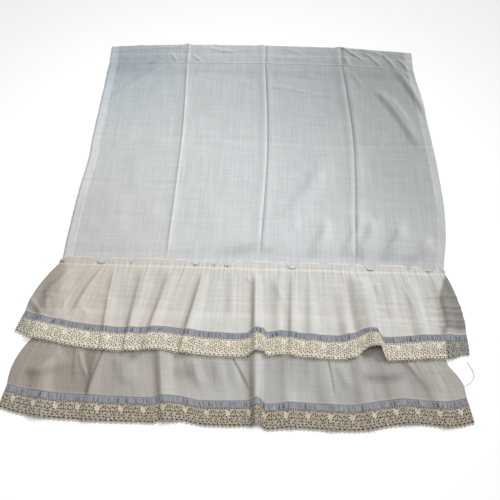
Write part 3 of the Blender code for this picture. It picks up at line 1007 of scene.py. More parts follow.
@dataclass
class RodPocket:
    """The heading: cloth turned over into a flat sleeve, open at both ends."""

    panel: Panel
    deepest: float = 64.0
    thickness: float = 0.5
    columns: int = 261
    turning: float = 28.0
    around: int = 76
    section: tuple = (
        (0.02, 0.35),
        (0.30, 0.35),
        (0.60, 0.35),
        (0.96, 0.40),
        (1.00, 1.10),
        (0.98, 1.90),
        (0.90, 2.70),
        (0.72, 3.40),
        (0.48, 3.30),
        (0.24, 2.70),
        (0.08, 1.80),
        (0.01, 1.30),
        (0.00, 0.80),
    )
    wrinkles: tuple = (
        Wrinkle((-180, 12), (-300, -84), 3.0, 4.5, 0, 0.4),
        Wrinkle((190, 8), (250, -42), 3.0, 3.5, 0, -0.3),
        Wrinkle((204, -30), (214, -64), 1.8, 3.5),
        Wrinkle((250, -12), (292, -60), 1.8, 4.0, 2),
        Wrinkle((296, -18), (332, -84), 2.6, 4.0, 3, -0.3),
        Wrinkle((330, -30), (362, -84), 2.4, 3.5, 3, -0.3),
        Wrinkle((-330, -22), (-180, -8), 1.2, 5.0, 4),
        Wrinkle((-140, -8), (-60, -22), 1.4, 5.0, -3),
        Wrinkle((-110, -24), (-10, -14), 1.1, 5.0, 3),
        Wrinkle((-180, -30), (-150, -58), 1.3, 3.5),
        Wrinkle((-230, -30), (-214, -58), 1.3, 3.5),
        Wrinkle((52, -6), (100, -20), 1.0, 5.0),
        Wrinkle((20, -38), (120, -44), 0.9, 4.0, 3),
        Wrinkle((240, -4), (300, -22), 1.6, 5.0, 3),
    )
    bumps: tuple = ((-308, 1.6), (-190, 2.6), (-120, 2.0), (-2, 2.2), (193, 3.2))

    def profile(self) -> np.ndarray:
        """The section once round, in even steps through its corner points.

        Returns:
            Shares of the depth, and heights.
        """
        corners = np.array(self.section + self.section[:1])
        scaled = corners * (self.deepest, 1.0)
        walked = np.concatenate(([0], np.cumsum(np.linalg.norm(np.diff(scaled, axis=0), axis=1))))
        steps = np.linspace(0, walked[-1], self.around + 1)
        return np.stack([np.interp(steps, walked, corners[:, k]) for k in range(2)], axis=1)

    def top_fold(self, x: np.ndarray) -> np.ndarray:
        """The top fold's line, with a small peak where each crease crosses it."""
        return smooth_through(TOP_FOLD, x) + sum(rise * bell((x - place) / 7) for place, rise in self.bumps)

    def build(self, finish: bpy.types.Material) -> bpy.types.Object:
        """Makes the sleeve.

        Args:
            finish: The voile.

        Returns:
            The piece.
        """
        profile = self.profile()
        share = np.linspace(0.001, 0.999, self.columns)
        nominal = -380 + 752 * share
        y = smooth_through(POCKET_SEAM, nominal)[:, None] * (1 - profile[None, :, 0])
        y = y + self.top_fold(nominal)[:, None] * profile[None, :, 0]
        left, right = Panel.edges(y)
        x = left + (right - left) * share[:, None]
        high = np.repeat(profile[None, :, 1], len(share), axis=0)
        on_top = ease((high - 0.7) / 1.2)
        seam = smooth_through(POCKET_SEAM, x)
        waves = 0.5 * ripple(x, y, 60.0, 21.0) + 0.4 * ripple(x * 1.6, y, 20.0, 5.0)
        folds = wrinkled(self.wrinkles, x, y)
        creases = self.panel.crease_height(x, np.full_like(x, self.panel.seam_y)) * 0.8
        turned_edge = 0.5 * ease((seam + self.turning - 0.5 - y) / 1.5)
        z = high + on_top * (waves + folds + creases + turned_edge)
        walked = np.cumsum(np.hypot(np.diff(y[0], prepend=y[0, 0]), np.diff(z[0], prepend=z[0, 0])))
        cloth = np.stack((x, np.repeat(walked[None, :], len(share), axis=0)), axis=2)
        in_hem = ease((18.6 - np.minimum(x - left, right - x)) / 1.2)
        lower_half = ease((seam + self.turning - y) / 1.5)
        rolled_seam = bell((y - seam - 1.5) / 2.2)
        fold_edge = bell((y - seam - self.turning - 0.5) / 1.5)
        # Lighter where cloth lies on cloth at the turned allowance, the rolled seam, the turned edge and the
        # hems; painted light and shade on the raised slopes, by how they face the slanting light.
        tone_and_painted_light = self.panel.tone_and_painted_light(x, y) + 0.04 * lower_half + 0.5 * rolled_seam + 0.2 * fold_edge
        tone_and_painted_light = tone_and_painted_light + 0.05 * in_hem + 0.30 * facing_light(x, y, z) * (high > 1.2)
        places = np.stack((x, y, z), axis=2)
        grid = SheetGrid(places, cloth, tone_and_painted_light, self.panel.warmth(x, y), self.thickness)
        piece = grid.piece("heading_voile", joined=True)
        hand_over(piece, "panel_cotton", finish, "heading")
        return piece

    def seam_line(self) -> np.ndarray:
        """Line of the pocket's stitches.

        Returns:
            A line of points.
        """
        x = np.arange(-379, 369, 2.0)
        y = smooth_through(POCKET_SEAM, x) + 1.2
        z = 1.75 + 0.5 * self.panel.crease_height(x, y) + 0.5 * wrinkled(self.wrinkles, x, y)
        return np.stack((x, y, z), axis=1)


@dataclass(frozen=True)
class Fold:
    """One fold of a gathered tier, running from its seam to its lower edge."""

    seam_x: float
    hem_x: float
    height: float
    half_width: float
    lean: float
    start: float
    end: float


@dataclass(frozen=True)
class Curl:
    """A place where the frill's free edge folds over towards the seam."""

    x: float
    half_width: float
    turn: float


class Support:
    """The layers that lie under a tier, read back from a fine square net."""

    STEP = 4.0
    LOW = (-500.0, -940.0)
    HIGH = (480.0, -590.0)

    def __init__(self, layers: list, near: float, far: float) -> None:
        """Lays a net over the layers.

        Args:
            layers: Arrays of points x, y, top, in millimetres on the plan.
            near: Distance within which a point carries the cloth fully.
            far: Distance past which it carries nothing.
        """
        px, py, top = np.concatenate(layers).T
        x = np.arange(self.LOW[0], self.HIGH[0], self.STEP)
        y = np.arange(self.LOW[1], self.HIGH[1], self.STEP)
        self.net = np.zeros((len(x), len(y)))
        for i, here_x in enumerate(x):
            close = np.abs(px - here_x) < far
            if not close.any():
                continue
            for j, here_y in enumerate(y):
                distance = np.hypot(px[close] - here_x, py[close] - here_y)
                self.net[i, j] = np.max(top[close] * (1 - ease((distance - near) / (far - near))))

    def under(self, x: np.ndarray, y: np.ndarray) -> np.ndarray:
        """Height to which the layers hold up cloth at places on the plan.

        Args:
            x: Places across, in millimetres.
            y: Places along, in millimetres.

        Returns:
            Heights in millimetres.
        """
        i = np.clip((x - self.LOW[0]) / self.STEP, 0, self.net.shape[0] - 1.001)
        j = np.clip((y - self.LOW[1]) / self.STEP, 0, self.net.shape[1] - 1.001)
        i0, j0 = i.astype(int), j.astype(int)
        di, dj = i - i0, j - j0
        low = self.net[i0, j0] * (1 - di) + self.net[i0 + 1, j0] * di
        high = self.net[i0, j0 + 1] * (1 - di) + self.net[i0 + 1, j0 + 1] * di
        return low * (1 - dj) + high * dj


@dataclass
class Tier:
    """A gathered strip with a chambray band and lace along its lower edge."""

    name: str
    seam_y: float
    top: float
    hem_line: tuple
    seam_ends: tuple
    bow: tuple
    folds: tuple
    wrinkles: tuple
    warmth_by_place: tuple
    dark_by_place: tuple
    seed: int
    lace_opening: float = 0.40
    lace_slope: tuple = (1.0, 1.45)
    shades: tuple = ()
    curls: tuple = ()
    right_edge: tuple = ((0.0, 0.0), (1.0, 0.0))
    drawn_up: tuple = ((0.0, 0.0), (1.0, 0.0))
    cross_crease_y: float = 0.0
    painted_fold_light: float = 0.08
    fold_shade: float = 0.13
    fold_light: float = 0.08
    hem_light: float = 0.76
    shade_width: float = 6.0
    lean_share: float = 0.55
    bend_at: float = 9.5
    band: float = 11.0
    band_thickness: float = 0.7
    lace: float = 35.0
    thickness: float = 0.45
    lift: float = 0.55
    column_step: float = 1.9
    row_step: float = 2.6
    support: Support | None = None

    def plan(self, u: np.ndarray, w: np.ndarray) -> tuple:
        """Places on the surface.

        Args:
            u: Places along the tier, given as x at the band's upper edge.
            w: Distances below the seam.

        Returns:
            x, y, the share of the drop and the length of the drop.
        """
        ends = ((self.hem_line[0][0], self.seam_ends[0]), (self.hem_line[-1][0], self.seam_ends[1]))
        seam_x = smooth_through(ends + tuple((f.hem_x, f.seam_x) for f in self.folds), u)
        hem_y = smooth_through(self.hem_line, u)
        length = np.hypot(u - seam_x, hem_y - self.seam_y)
        t = w / length
        below = np.maximum(t, 0)
        half = (self.hem_line[-1][0] - self.hem_line[0][0]) / 2
        side = (u - self.hem_line[0][0]) / half - 1
        bulge = np.where(side < 0, self.bow[0], self.bow[1]) * np.abs(side) ** 3
        swell = np.where(below < 1, 4 * below * (1 - below), -2 * (below - 1))
        nip = smooth_through(self.right_edge, below) * np.clip(side, 0, 1) ** 6
        x = seam_x + (u - seam_x) * below + bulge * swell + nip
        y = np.where(w < 0, self.seam_y - w, self.seam_y + (hem_y - self.seam_y) * below)
        y = y + smooth_through(self.drawn_up, u) * np.clip(w - length, 0, None)
        return x, y, t, length

    def fold_shape(self, u: np.ndarray, t: np.ndarray) -> tuple:
        """The folds' relief.

        Args:
            u: Places along the tier.
            t: Shares of the drop.

        Returns:
            Height, how far the crests lean over, and from 0 to 1 the painted shade on the shaded sides and
            the painted highlight on the lit crests.
        """
        height, lean, steep, lit = (np.zeros_like(u) for _ in range(4))
        for fold in self.folds:
            left = fold.half_width * (1 + self.lean_share * fold.lean)
            right = fold.half_width * (1 - self.lean_share * fold.lean)
            q = np.where(u < fold.hem_x, (u - fold.hem_x) / left, (u - fold.hem_x) / right)
            profile = 0.5 * (1 + np.cos(np.pi * np.clip(q, -1, 1)))
            late = ease((t - fold.start) / (1.05 - fold.start)) ** 0.7
            early = ease((t - 0.02) / 0.22)
            rise = 0.55 * late + 0.45 * early if fold.start < 0.06 else late
            rise = rise * (1 - ease((t - fold.end + 0.35) / 0.35))
            height += fold.height * profile * rise
            lean += 0.3 * fold.lean * fold.height * profile**2 * rise
            share = rise * min(fold.height / 7, 1.0)
            # Painted shade near the foot of each fold's shaded side, and a painted highlight near its crest.
            steep += bell((u - fold.hem_x + 0.85 * left) / self.shade_width) * share
            lit += bell((u - fold.hem_x + 0.15 * left) / 2.6) * share
        return height, lean, np.clip(steep, 0, 1), np.clip(lit, 0, 1)

    def gathers(self, u: np.ndarray, w: np.ndarray) -> np.ndarray:
        """Small pleats that start at the seam's stitches and die out both ways.

        Args:
            u: Places along the tier.
            w: Distances below the seam.

        Returns:
            Heights in millimetres.
        """
        rng = np.random.default_rng(self.seed)
        place = self.hem_line[0][0] + 6
        below = np.clip(w, 0, None)
        above = np.clip(-w, 0, None)
        total = np.zeros_like(u)
        while place < self.hem_line[-1][0] - 4:
            width, height, run = rng.uniform(1.9, 3.6), rng.uniform(0.6, 1.9), rng.uniform(14, 58)
            fade = np.exp(-((below / run) ** 1.3)) * np.exp(-((above / 13) ** 2))
            total += height * bell((u - place) / (width * (1 + below / 80))) * fade
            place += rng.uniform(4.5, 11)
        return total * ease(np.abs(w) / 3 + 0.25) - 0.5 * bell(w / 1.2)

    def crinkles(self, u: np.ndarray, w: np.ndarray, x: np.ndarray, y: np.ndarray) -> np.ndarray:
        """Soft unevenness of thin cloth, its wrinkles and the ironed crease across the tier.

        Args:
            u: Places along the tier.
            w: Distances below the seam.
            x: Places across, in millimetres.
            y: Places along, in millimetres.

        Returns:
            Heights in millimetres.
        """
        waves = 0.7 * ripple(u, w * 0.35, 19.0, self.seed) + 0.5 * ripple(u, w * 0.5, 47.0, self.seed + 4.0)
        total = waves * ease(w / 25) + wrinkled(self.wrinkles, x, y)
        if self.cross_crease_y:
            total = total - 0.7 * tent((y - self.cross_crease_y - 4 * np.sin(u / 90)) / 4.0)
        return total

    def surface(self, u: np.ndarray, w: np.ndarray) -> np.ndarray:
        """The sheet's middle on the plan.

        Args:
            u: Places along the tier.
            w: Distances below the seam.

        Returns:
            Points in millimetres, with the last axis x, y, z.
        """
        x, y, t, _ = self.plan(u, w)
        height, lean, *_ = self.fold_shape(u, t)
        fine = self.gathers(u, w) + self.crinkles(u, w, x, y)
        z = self.support.under(x, y) + height + np.maximum(fine, -0.3 - height) + self.lift
        return np.stack((x + lean, y, z), axis=-1)

    def columns(self) -> np.ndarray:
        """Places along the tier, evenly spaced."""
        first, last = self.hem_line[0][0], self.hem_line[-1][0]
        return np.linspace(first, last, round((last - first) / self.column_step) + 1)

    def drop(self, u: np.ndarray) -> np.ndarray:
        """Length of the cloth from the seam to the band at each place."""
        return self.plan(u, np.zeros_like(u))[3]

    def cloth_lengths(self) -> np.ndarray:
        """Length of cloth from the left end to each column, over the folds at the band.

        Returns:
            Lengths in millimetres.
        """
        u = self.columns()
        line = self.surface(u, self.drop(u) + self.band / 2)
        return np.concatenate(([0], np.cumsum(np.linalg.norm(np.diff(line, axis=0), axis=1))))

    def turned(self, x: np.ndarray) -> np.ndarray:
        """How far the frill is folded over at places across, from 0 to 1.

        Args:
            x: Places across, in millimetres.

        Returns:
            Shares from 0 to 1.
        """
        turn = np.zeros_like(x)
        for curl in self.curls:
            turn = np.maximum(turn, curl.turn * bell((x - curl.x) / curl.half_width / 0.8))
        return turn

    def frill_tone(self, x: np.ndarray, w: np.ndarray) -> np.ndarray:
        """Light lines along the seam and the frill's edge, a painted highlight along each fold and painted
        shade under a folded edge.

        Args:
            x: Places across, in millimetres.
            w: Distances below the seam.

        Returns:
            What to add to the tone, painted light and shade included.
        """
        turn = self.turned(x)
        up = -w
        edge = 0.36 * ease((up - self.top + 2.8) / 1.0)
        seam = 0.30 * bell(w / 1.7)
        fold = 0.24 * turn * bell((up - self.bend_at) / 2.0)
        shade = 0.62 * ease((turn - 0.50) / 0.3) * bell((up - 3.0) / 1.4)
        return edge + seam + fold - shade

    def curl_frill(self, points: np.ndarray, w: np.ndarray) -> np.ndarray:
        """Folds the frill's free edge over at each curl, towards the seam.

        Args:
            points: The cloth's points, changed in place.
            w: Distances below the seam.

        Returns:
            The same points, folded.
        """
        turn = self.turned(points[..., 0])
        beyond = np.clip(-w - self.bend_at, 0, None)
        points[..., 1] -= 2 * turn * beyond
        points[..., 2] += 1.6 * turn * ease(beyond / 2.5) + 0.5 * ease(-w / self.top)
        return points

    def warmth(self, u: np.ndarray, t: np.ndarray) -> np.ndarray:
        """How warm the cloth looks: set by place, with painted warm shade on the folds' shaded sides."""
        return smooth_through(self.warmth_by_place, u) + 0.85 * self.fold_shape(u, t)[2]

    def layers(self, x: np.ndarray, y: np.ndarray) -> np.ndarray:
        """How far other cloth backs the tier at places on the plan.

        Args:
            x: Places across, in millimetres.
            y: Places along, in millimetres.

        Returns:
            Tones, from 0 for a single layer to 1 for cloth on cloth.
        """
        if self.name == "lower":
            # The lower tier: darker towards its left end and near x 270, with a soft cloudy variation.
            darker = 0.11 * ease((-200 - x) / 100) + 0.05 * bell((x - 270) / 60)
            return 0.36 - darker + 0.12 * ripple(x, y, 70.0, 33.0)
        left, right = Panel.edges(np.clip(y, -745, 0))
        wander = 5 * np.sin(y / 17)
        over_panel = ease((x - left + 10) / 30) * ease((right - x + 6 + wander) / 14)
        over_panel = over_panel * ease((364 - 0.14 * (-651 - y) - x + wander) / 8)
        off_left = np.where(x < 0, 0.33, 0.02 + 0.26 * ease((-727 - y) / 6))
        cloudy = 0.05 * ripple(x, y, 34.0, 51.0)
        return np.maximum(over_panel * (0.64 + cloudy), off_left)

    def build_cloth(self, finish: bpy.types.Material) -> bpy.types.Object:
        """Makes the gathered cloth down to the band.

        Args:
            finish: The voile.

        Returns:
            The piece.
        """
        u = self.columns()
        length = self.drop(u)
        share = np.linspace(0, 1, round((length.mean() + self.top) / self.row_step))[::-1]
        w = -self.top + (length[:, None] - 0.2 + self.top) * share[None, :]
        u = np.repeat(u[:, None], w.shape[1], axis=1)
        points = self.surface(u, w)
        tone_and_painted_light = self.layers(points[..., 0], points[..., 1])
        t = w / length[:, None]
        height, _, steep, lit = self.fold_shape(u, t)
        # Painted shade on the folds' shaded sides and painted highlights on their crests; the lower tier
        # lighter where its folds stand higher; painted shade lines; painted light and shade by how the slopes
        # face the slanting light.
        tone_and_painted_light = tone_and_painted_light - self.fold_shade * steep + self.fold_light * lit
        tone_and_painted_light = tone_and_painted_light + 0.015 * height * (self.name == "lower")
        tone_and_painted_light = tone_and_painted_light - wrinkled(self.shades, points[..., 0], points[..., 1])
        tone_and_painted_light = tone_and_painted_light + self.painted_fold_light * facing_light(u, -w, points[..., 2])
        at_hem = ease((w - length[:, None] + 3.2) / 0.8)
        tone_and_painted_light = tone_and_painted_light + (self.hem_light - tone_and_painted_light) * 0.9 * at_hem
        if self.curls:
            tone_and_painted_light = tone_and_painted_light + self.frill_tone(points[..., 0], w)
            points = self.curl_frill(points, w)
        along = np.repeat(self.cloth_lengths()[:, None], w.shape[1], axis=1)
        cloth = np.stack((along, -w), axis=2)
        grid = SheetGrid(points, cloth, tone_and_painted_light, self.warmth(u, t), self.thickness)
        piece = grid.piece(f"{self.name}_tier_voile")
        hand_over(piece, "tier_cotton", finish, f"{self.name}_ruffle")
        flat = (self.cloth_lengths()[-1] * MM, (float(length.mean()) + self.top) * MM)
        return piece

    def build_band(self, finish: bpy.types.Material) -> bpy.types.Object:
        """Makes the chambray band.

        Args:
            finish: The chambray.

        Returns:
            The piece.
        """
        u = self.columns()
        w = self.drop(u)[:, None] + np.linspace(self.band - 0.2, 0.1, 6)[None, :]
        u = np.repeat(u[:, None], w.shape[1], axis=1)
        points = self.surface(u, w)
        points[..., 2] += 0.15
        along = np.repeat(self.cloth_lengths()[:, None], w.shape[1], axis=1)
        cloth = np.stack((along, w - self.drop(u)), axis=2)
        grid = SheetGrid(points, cloth, np.zeros_like(w), np.zeros_like(w), self.band_thickness)
        piece = grid.piece(f"{self.name}_band_chambray")
        hand_over(piece, "woven_band", finish, f"{self.name}_band")
        flat = (self.cloth_lengths()[-1] * MM, self.band * MM)
        return piece

    def build_lace(self, finish: bpy.types.Material) -> bpy.types.Object:
        """Makes the lace and lays it along the band.

        Args:
            finish: The lace cotton.

        Returns:
            The piece.
        """
        lengths = self.cloth_lengths()
        strip = LaceStrip(float(lengths[-1]), self.lace_opening, self.lace_slope)
        mesh = strip.flat_strip(f"{self.name}_lace_cotton")
        flat = np.zeros(len(mesh.vertices) * 3)
        mesh.vertices.foreach_get("co", flat)
        s, w, raised = flat.reshape(-1, 3).T / MM
        u = np.interp(s, lengths, self.columns())
        points = self.surface(u, self.drop(u) + self.band + 0.1 + w * (self.lace - 0.3) / self.lace)
        points[:, 2] += strip.lift + strip.depth * (raised - 0.5)
        dark = smooth_through(self.dark_by_place, u)
        piece = strip.piece(mesh, points, np.stack((s, w), axis=1), raised, dark)
        hand_over(piece, "cotton_lace", finish, f"{self.name}_lace")
        return piece

    def stitch_lines(self) -> list:
        """Lines of the seam's and the band's stitches.

        Returns:
            Lines of points.
        """
        u = self.columns()[2:-2]
        rows = (0.0 * u, self.drop(u) + 1.3, self.drop(u) + self.band - 1.3)
        if not self.curls:
            rows = rows[1:]
        return [self.surface(u, w) + (0, 0, 0.5) for w in rows]


@dataclass(frozen=True)
class Hole:
    """An opening in the lace: its middle, half sizes, kind, the slope round it and its rim's height."""

    s: float
    w: float
    half_s: float
    half_w: float
    kind: Opening = Opening.ROUND
    slope: float = 1.1
    rim: float = 0.0

    def outline(self, grow: float = 0.0) -> list:
        """Corners of the opening, or of a line round it.

        Args:
            grow: How far outside the opening, in millimetres.

        Returns:
            Points s, w.
        """
        count = self.kind.value
        angles = [2 * math.pi * k / count for k in range(count)]
        return [
            (
                self.s + (self.half_s + grow) * math.cos(angle),
                self.w + (self.half_w + grow) * math.sin(angle),
            )
            for angle in angles
        ]

    def clear_of(self, other: "Hole", bar: float) -> bool:
        """Whether a bar of thread that wide fits between the slopes of two openings."""
        reach = (self.half_s + self.half_w + other.half_s + other.half_w) / 2
        return math.dist((self.s, self.w), (other.s, other.w)) > reach + self.slope + other.slope + bar


@dataclass
class LaceStrip:
    """A strip of traditional torchon lace: tulips in a net ground, with a fan edge and picots."""

    length: float
    opening: float
    slope: tuple
    repeat: float = 38.0
    picots: int = 5
    thickness: float = 0.8
    lift: float = 0.7
    depth: float = 0.9
    tulip: tuple = (19.0, 10.0)
    tulip_size: tuple = (4.0, 5.0)
    arcs: tuple = ((5.6, 6.8), (9.6, 11.0), (13.6, 15.0), (17.6, 19.0))
    hole_pitch: float = 4.2
    bar: float = 0.15
    net_from: float = 4.8
    net_to: float = 27.6
    picot_base: float = 31.0
    cut_area: float = 0.0

    def holes(self) -> list:
        """The openings of one repeat: a row at the band, arcs round the tulip, net and picots.

        Returns:
            The openings.
        """
        half = self.opening
        wide = self.repeat / self.picots
        found = [Hole(self.repeat / 9 * (k + 0.5), 1.9, half, half, slope=1.2) for k in range(9)]
        for k in range(self.picots):
            found.append(Hole(wide * (k + 0.5), 32.7, 2.2, 1.1, Opening.LOOP, slope=0.3, rim=0.8))
            found.append(Hole(wide * (k + 0.5), 29.5, 0.6, 0.5, slope=self.slope[1]))
        found += [Hole(wide * k, 29.4, 0.4, 0.4, slope=0.8) for k in range(1, self.picots)]
        rng = np.random.default_rng(7)
        for number, (across, along) in enumerate(self.arcs):
            count = round(math.pi * (across + along) / self.hole_pitch)
            for k in range(count):
                angle = 2 * math.pi * (k + 0.5 * (number % 2)) / count
                s = self.tulip[0] + across * math.cos(angle)
                self.add_hole(found, s, self.tulip[1] + along * math.sin(angle), rng)
        rows = np.arange(self.net_from, self.net_to, self.hole_pitch * 0.4)
        for number, w in enumerate(rows):
            for s in np.arange(1.9 + 0.5 * self.hole_pitch * (number % 2), self.repeat - 1.6, 1.3):
                self.add_hole(found, float(s), float(w), rng)
        return found

    def add_hole(self, found: list, s: float, w: float, rng: np.random.Generator) -> None:
        """Adds an uneven opening of the ground where it is clear of the others, the edges and the tulip.

        Args:
            found: The openings so far.
            s: Place along the strip.
            w: Place across it.
            rng: Where its unevenness comes from.
        """
        s, w = s + rng.uniform(-0.5, 0.5), w + rng.uniform(-0.5, 0.5)
        half = self.opening * rng.uniform(0.8, 1.25)
        hole = Hole(s, w, half, half, slope=rng.uniform(*self.slope))
        away_s = (s - self.tulip[0]) / self.tulip_size[0]
        away_w = (w - self.tulip[1]) / self.tulip_size[1]
        in_tulip = math.hypot(away_s, away_w) < 1
        inside = 1.5 < s < self.repeat - 1.5 and self.net_from - 0.2 < w < self.net_to
        if inside and not in_tulip and all(hole.clear_of(other, self.bar) for other in found):
            found.append(hole)

    def relief(self, s: float, w: float) -> float:
        """How far the work stands up, from 0 in the net to 1 on the tulip.

        Args:
            s: Place along the strip.
            w: Distances below the seam.

        Returns:
            Heights in millimetres.
        """
        away_s = (s - self.tulip[0]) / self.tulip_size[0]
        away_w = (w - self.tulip[1]) / self.tulip_size[1]
        return float(ease(np.array(1.9 - 1.2 * math.hypot(away_s, away_w))))

    def edge(self, s: float) -> float:
        """The lower edge: a loop of thread for each picot."""
        phase = (s * self.picots / self.repeat) % 1.0
        return self.picot_base + 3.9 * math.sin(math.pi * phase) ** 0.8

    def one_repeat(self) -> tuple:
        """Cuts one repeat of the pattern.

        Returns:
            Points s, w, raised and the triangles between them.
        """
        holes = self.holes()
        steps = self.picots * 10
        bottom = [(self.repeat * k / steps, self.edge(self.repeat * k / steps)) for k in range(steps + 1)]
        side = [self.picot_base * k / 9 for k in range(9)]
        right = [(self.repeat, w) for w in side[:0:-1]]
        top = [(self.repeat * k / 10, 0.0) for k in range(10, 0, -1)]
        left = [(0.0, w) for w in side]
        outline = bottom + right + top + left
        points, edges, owner = list(outline), [], [-1] * len(outline)
        edges += [(k, (k + 1) % len(outline)) for k in range(len(outline))]
        raised = [0.75] * len(outline)
        for number, hole in enumerate(holes):
            rim = hole.outline()
            start = len(points)
            edges += [(start + k, start + (k + 1) % len(rim)) for k in range(len(rim))]
            points += rim
            owner += [number] * len(rim)
            # The rim's raised value sets how deep the opening sinks and, when low, the painted shade round
            # it.
            raised += [hole.rim] * len(rim)
            ring = [p for p in hole.outline(hole.slope) if 0.2 < p[0] < self.repeat - 0.2 and p[1] > 0.2]
            ring = [p for p in ring if p[1] < self.edge(p[0]) - 0.15]
            points += ring
            owner += [-1] * len(ring)
            raised += [0.75 + 0.25 * self.relief(*p) for p in ring]
        for s in np.arange(2.0, self.repeat - 1.0, 1.9):
            for w in np.arange(1.2, 31.0, 1.9):
                place = Hole(float(s), float(w), 0.0, 0.0, slope=0.0)
                if all(place.clear_of(hole, 0.5) for hole in holes):
                    points.append((float(s), float(w)))
                    owner.append(-1)
                    raised.append(0.75 + 0.25 * self.relief(float(s), float(w)))
        cut = delaunay_2d_cdt([Vector(p) for p in points], edges, [], 1, 1e-5)
        source = [ids[0] if ids else 0 for ids in cut[3]]
        owners = [owner[k] for k in source]
        faces = [
            face for face in cut[2] if not (owners[face[0]] >= 0 and len({owners[k] for k in face}) == 1)
        ]
        flat = np.array([(*cut[0][k], raised[source[k]]) for k in range(len(cut[0]))])
        return flat, faces

    def flat_strip(self, name: str) -> bpy.types.Mesh:
        """Copies the repeat along the strip and welds the copies.

        Args:
            name: The mesh's name.

        Returns:
            The flat mesh, whose third coordinate says how far each point is raised.
        """
        flat, faces = self.one_repeat()
        copies = round(self.length / self.repeat)
        stretch = self.length / (copies * self.repeat)
        corners = flat[np.array(faces)][:, :, :2]
        first, second = corners[:, 1] - corners[:, 0], corners[:, 2] - corners[:, 0]
        areas = 0.5 * np.abs(first[:, 0] * second[:, 1] - first[:, 1] * second[:, 0])
        self.cut_area = float(areas.sum()) * copies * stretch
        points, triangles = [], []
        for copy in range(copies):
            start = copy * len(flat)
            points.append((flat + (copy * self.repeat, 0, 0)) * (stretch, 1, 1))
            triangles += [tuple(start + k for k in face) for face in faces]
        mesh = bpy.data.meshes.new(name)
        mesh.from_pydata((np.concatenate(points) * MM).tolist(), [], triangles)
        weld(mesh, 0.02)
        return mesh

    def piece(
        self, mesh: bpy.types.Mesh, points: np.ndarray, flat: np.ndarray, raised: np.ndarray, dark: np.ndarray
    ) -> bpy.types.Object:
        """Bends the flat strip to its place.

        Args:
            mesh: The flat strip.
            points: Where each point lies on the plan.
            flat: Each point's place along and across the strip.
            raised: How far each point is raised.
            dark: How dark the painted shade in the openings is there.

        Returns:
            The piece.
        """
        corner = np.zeros(len(mesh.loops), np.int32)
        mesh.loops.foreach_get("vertex_index", corner)
        layer = mesh.uv_layers.new(name=CLOTH_UV)
        layer.data.foreach_set("uv", (flat[corner] * MM).astype(np.float32).ravel())
        for name, values in ((TONE_AND_PAINTED_LIGHT, raised), (WARMTH, dark)):
            attribute = mesh.attributes.new(name, "FLOAT", "POINT")
            attribute.data.foreach_set("value", values.astype(np.float32))
        mesh.vertices.foreach_set("co", ((points + SHIFT) * MM).astype(np.float32).ravel())
        made = bpy.data.objects.new(mesh.name, mesh)
        bpy.context.scene.collection.objects.link(made)
        mesh.update()
        apply_modifier(made, "SOLIDIFY", thickness=self.thickness * MM, offset=0.0)
        mesh.shade_smooth()
        return made


@dataclass
class LooseThread:
    """The end of sewing thread that hangs from the upper lace."""

    radius: float = 0.35
    step: float = 1.5

    def build(self, finish: bpy.types.Material) -> bpy.types.Object:
        """Makes the thread along its route.

        Args:
            finish: The thread's finish.

        Returns:
            The piece.
        """
        route = np.array(THREAD_ROUTE)
        along = np.concatenate(([0], np.cumsum(np.linalg.norm(np.diff(route, axis=0), axis=1))))
        at = np.linspace(0, along[-1], round(along[-1] / self.step) + 1)
        line = np.stack([smooth_through(list(zip(along, route[:, k])), at) for k in range(3)], axis=1)
        line = (line + SHIFT) * MM
        curve = bpy.data.curves.new("loose_thread_cotton", "CURVE")
        curve.dimensions = "3D"
        curve.bevel_depth = self.radius * MM
        curve.bevel_resolution = 2
        curve.use_fill_caps = True
        spline = curve.splines.new("POLY")
        spline.points.add(len(line) - 1)
        for point, place in zip(spline.points, line):
            point.co = (*place, 1.0)
        piece = bpy.data.objects.new("loose_thread_cotton", curve)
        bpy.context.scene.collection.objects.link(piece)
        hand_over(piece, "sewing_thread", finish, "loose_thread")
        return piece


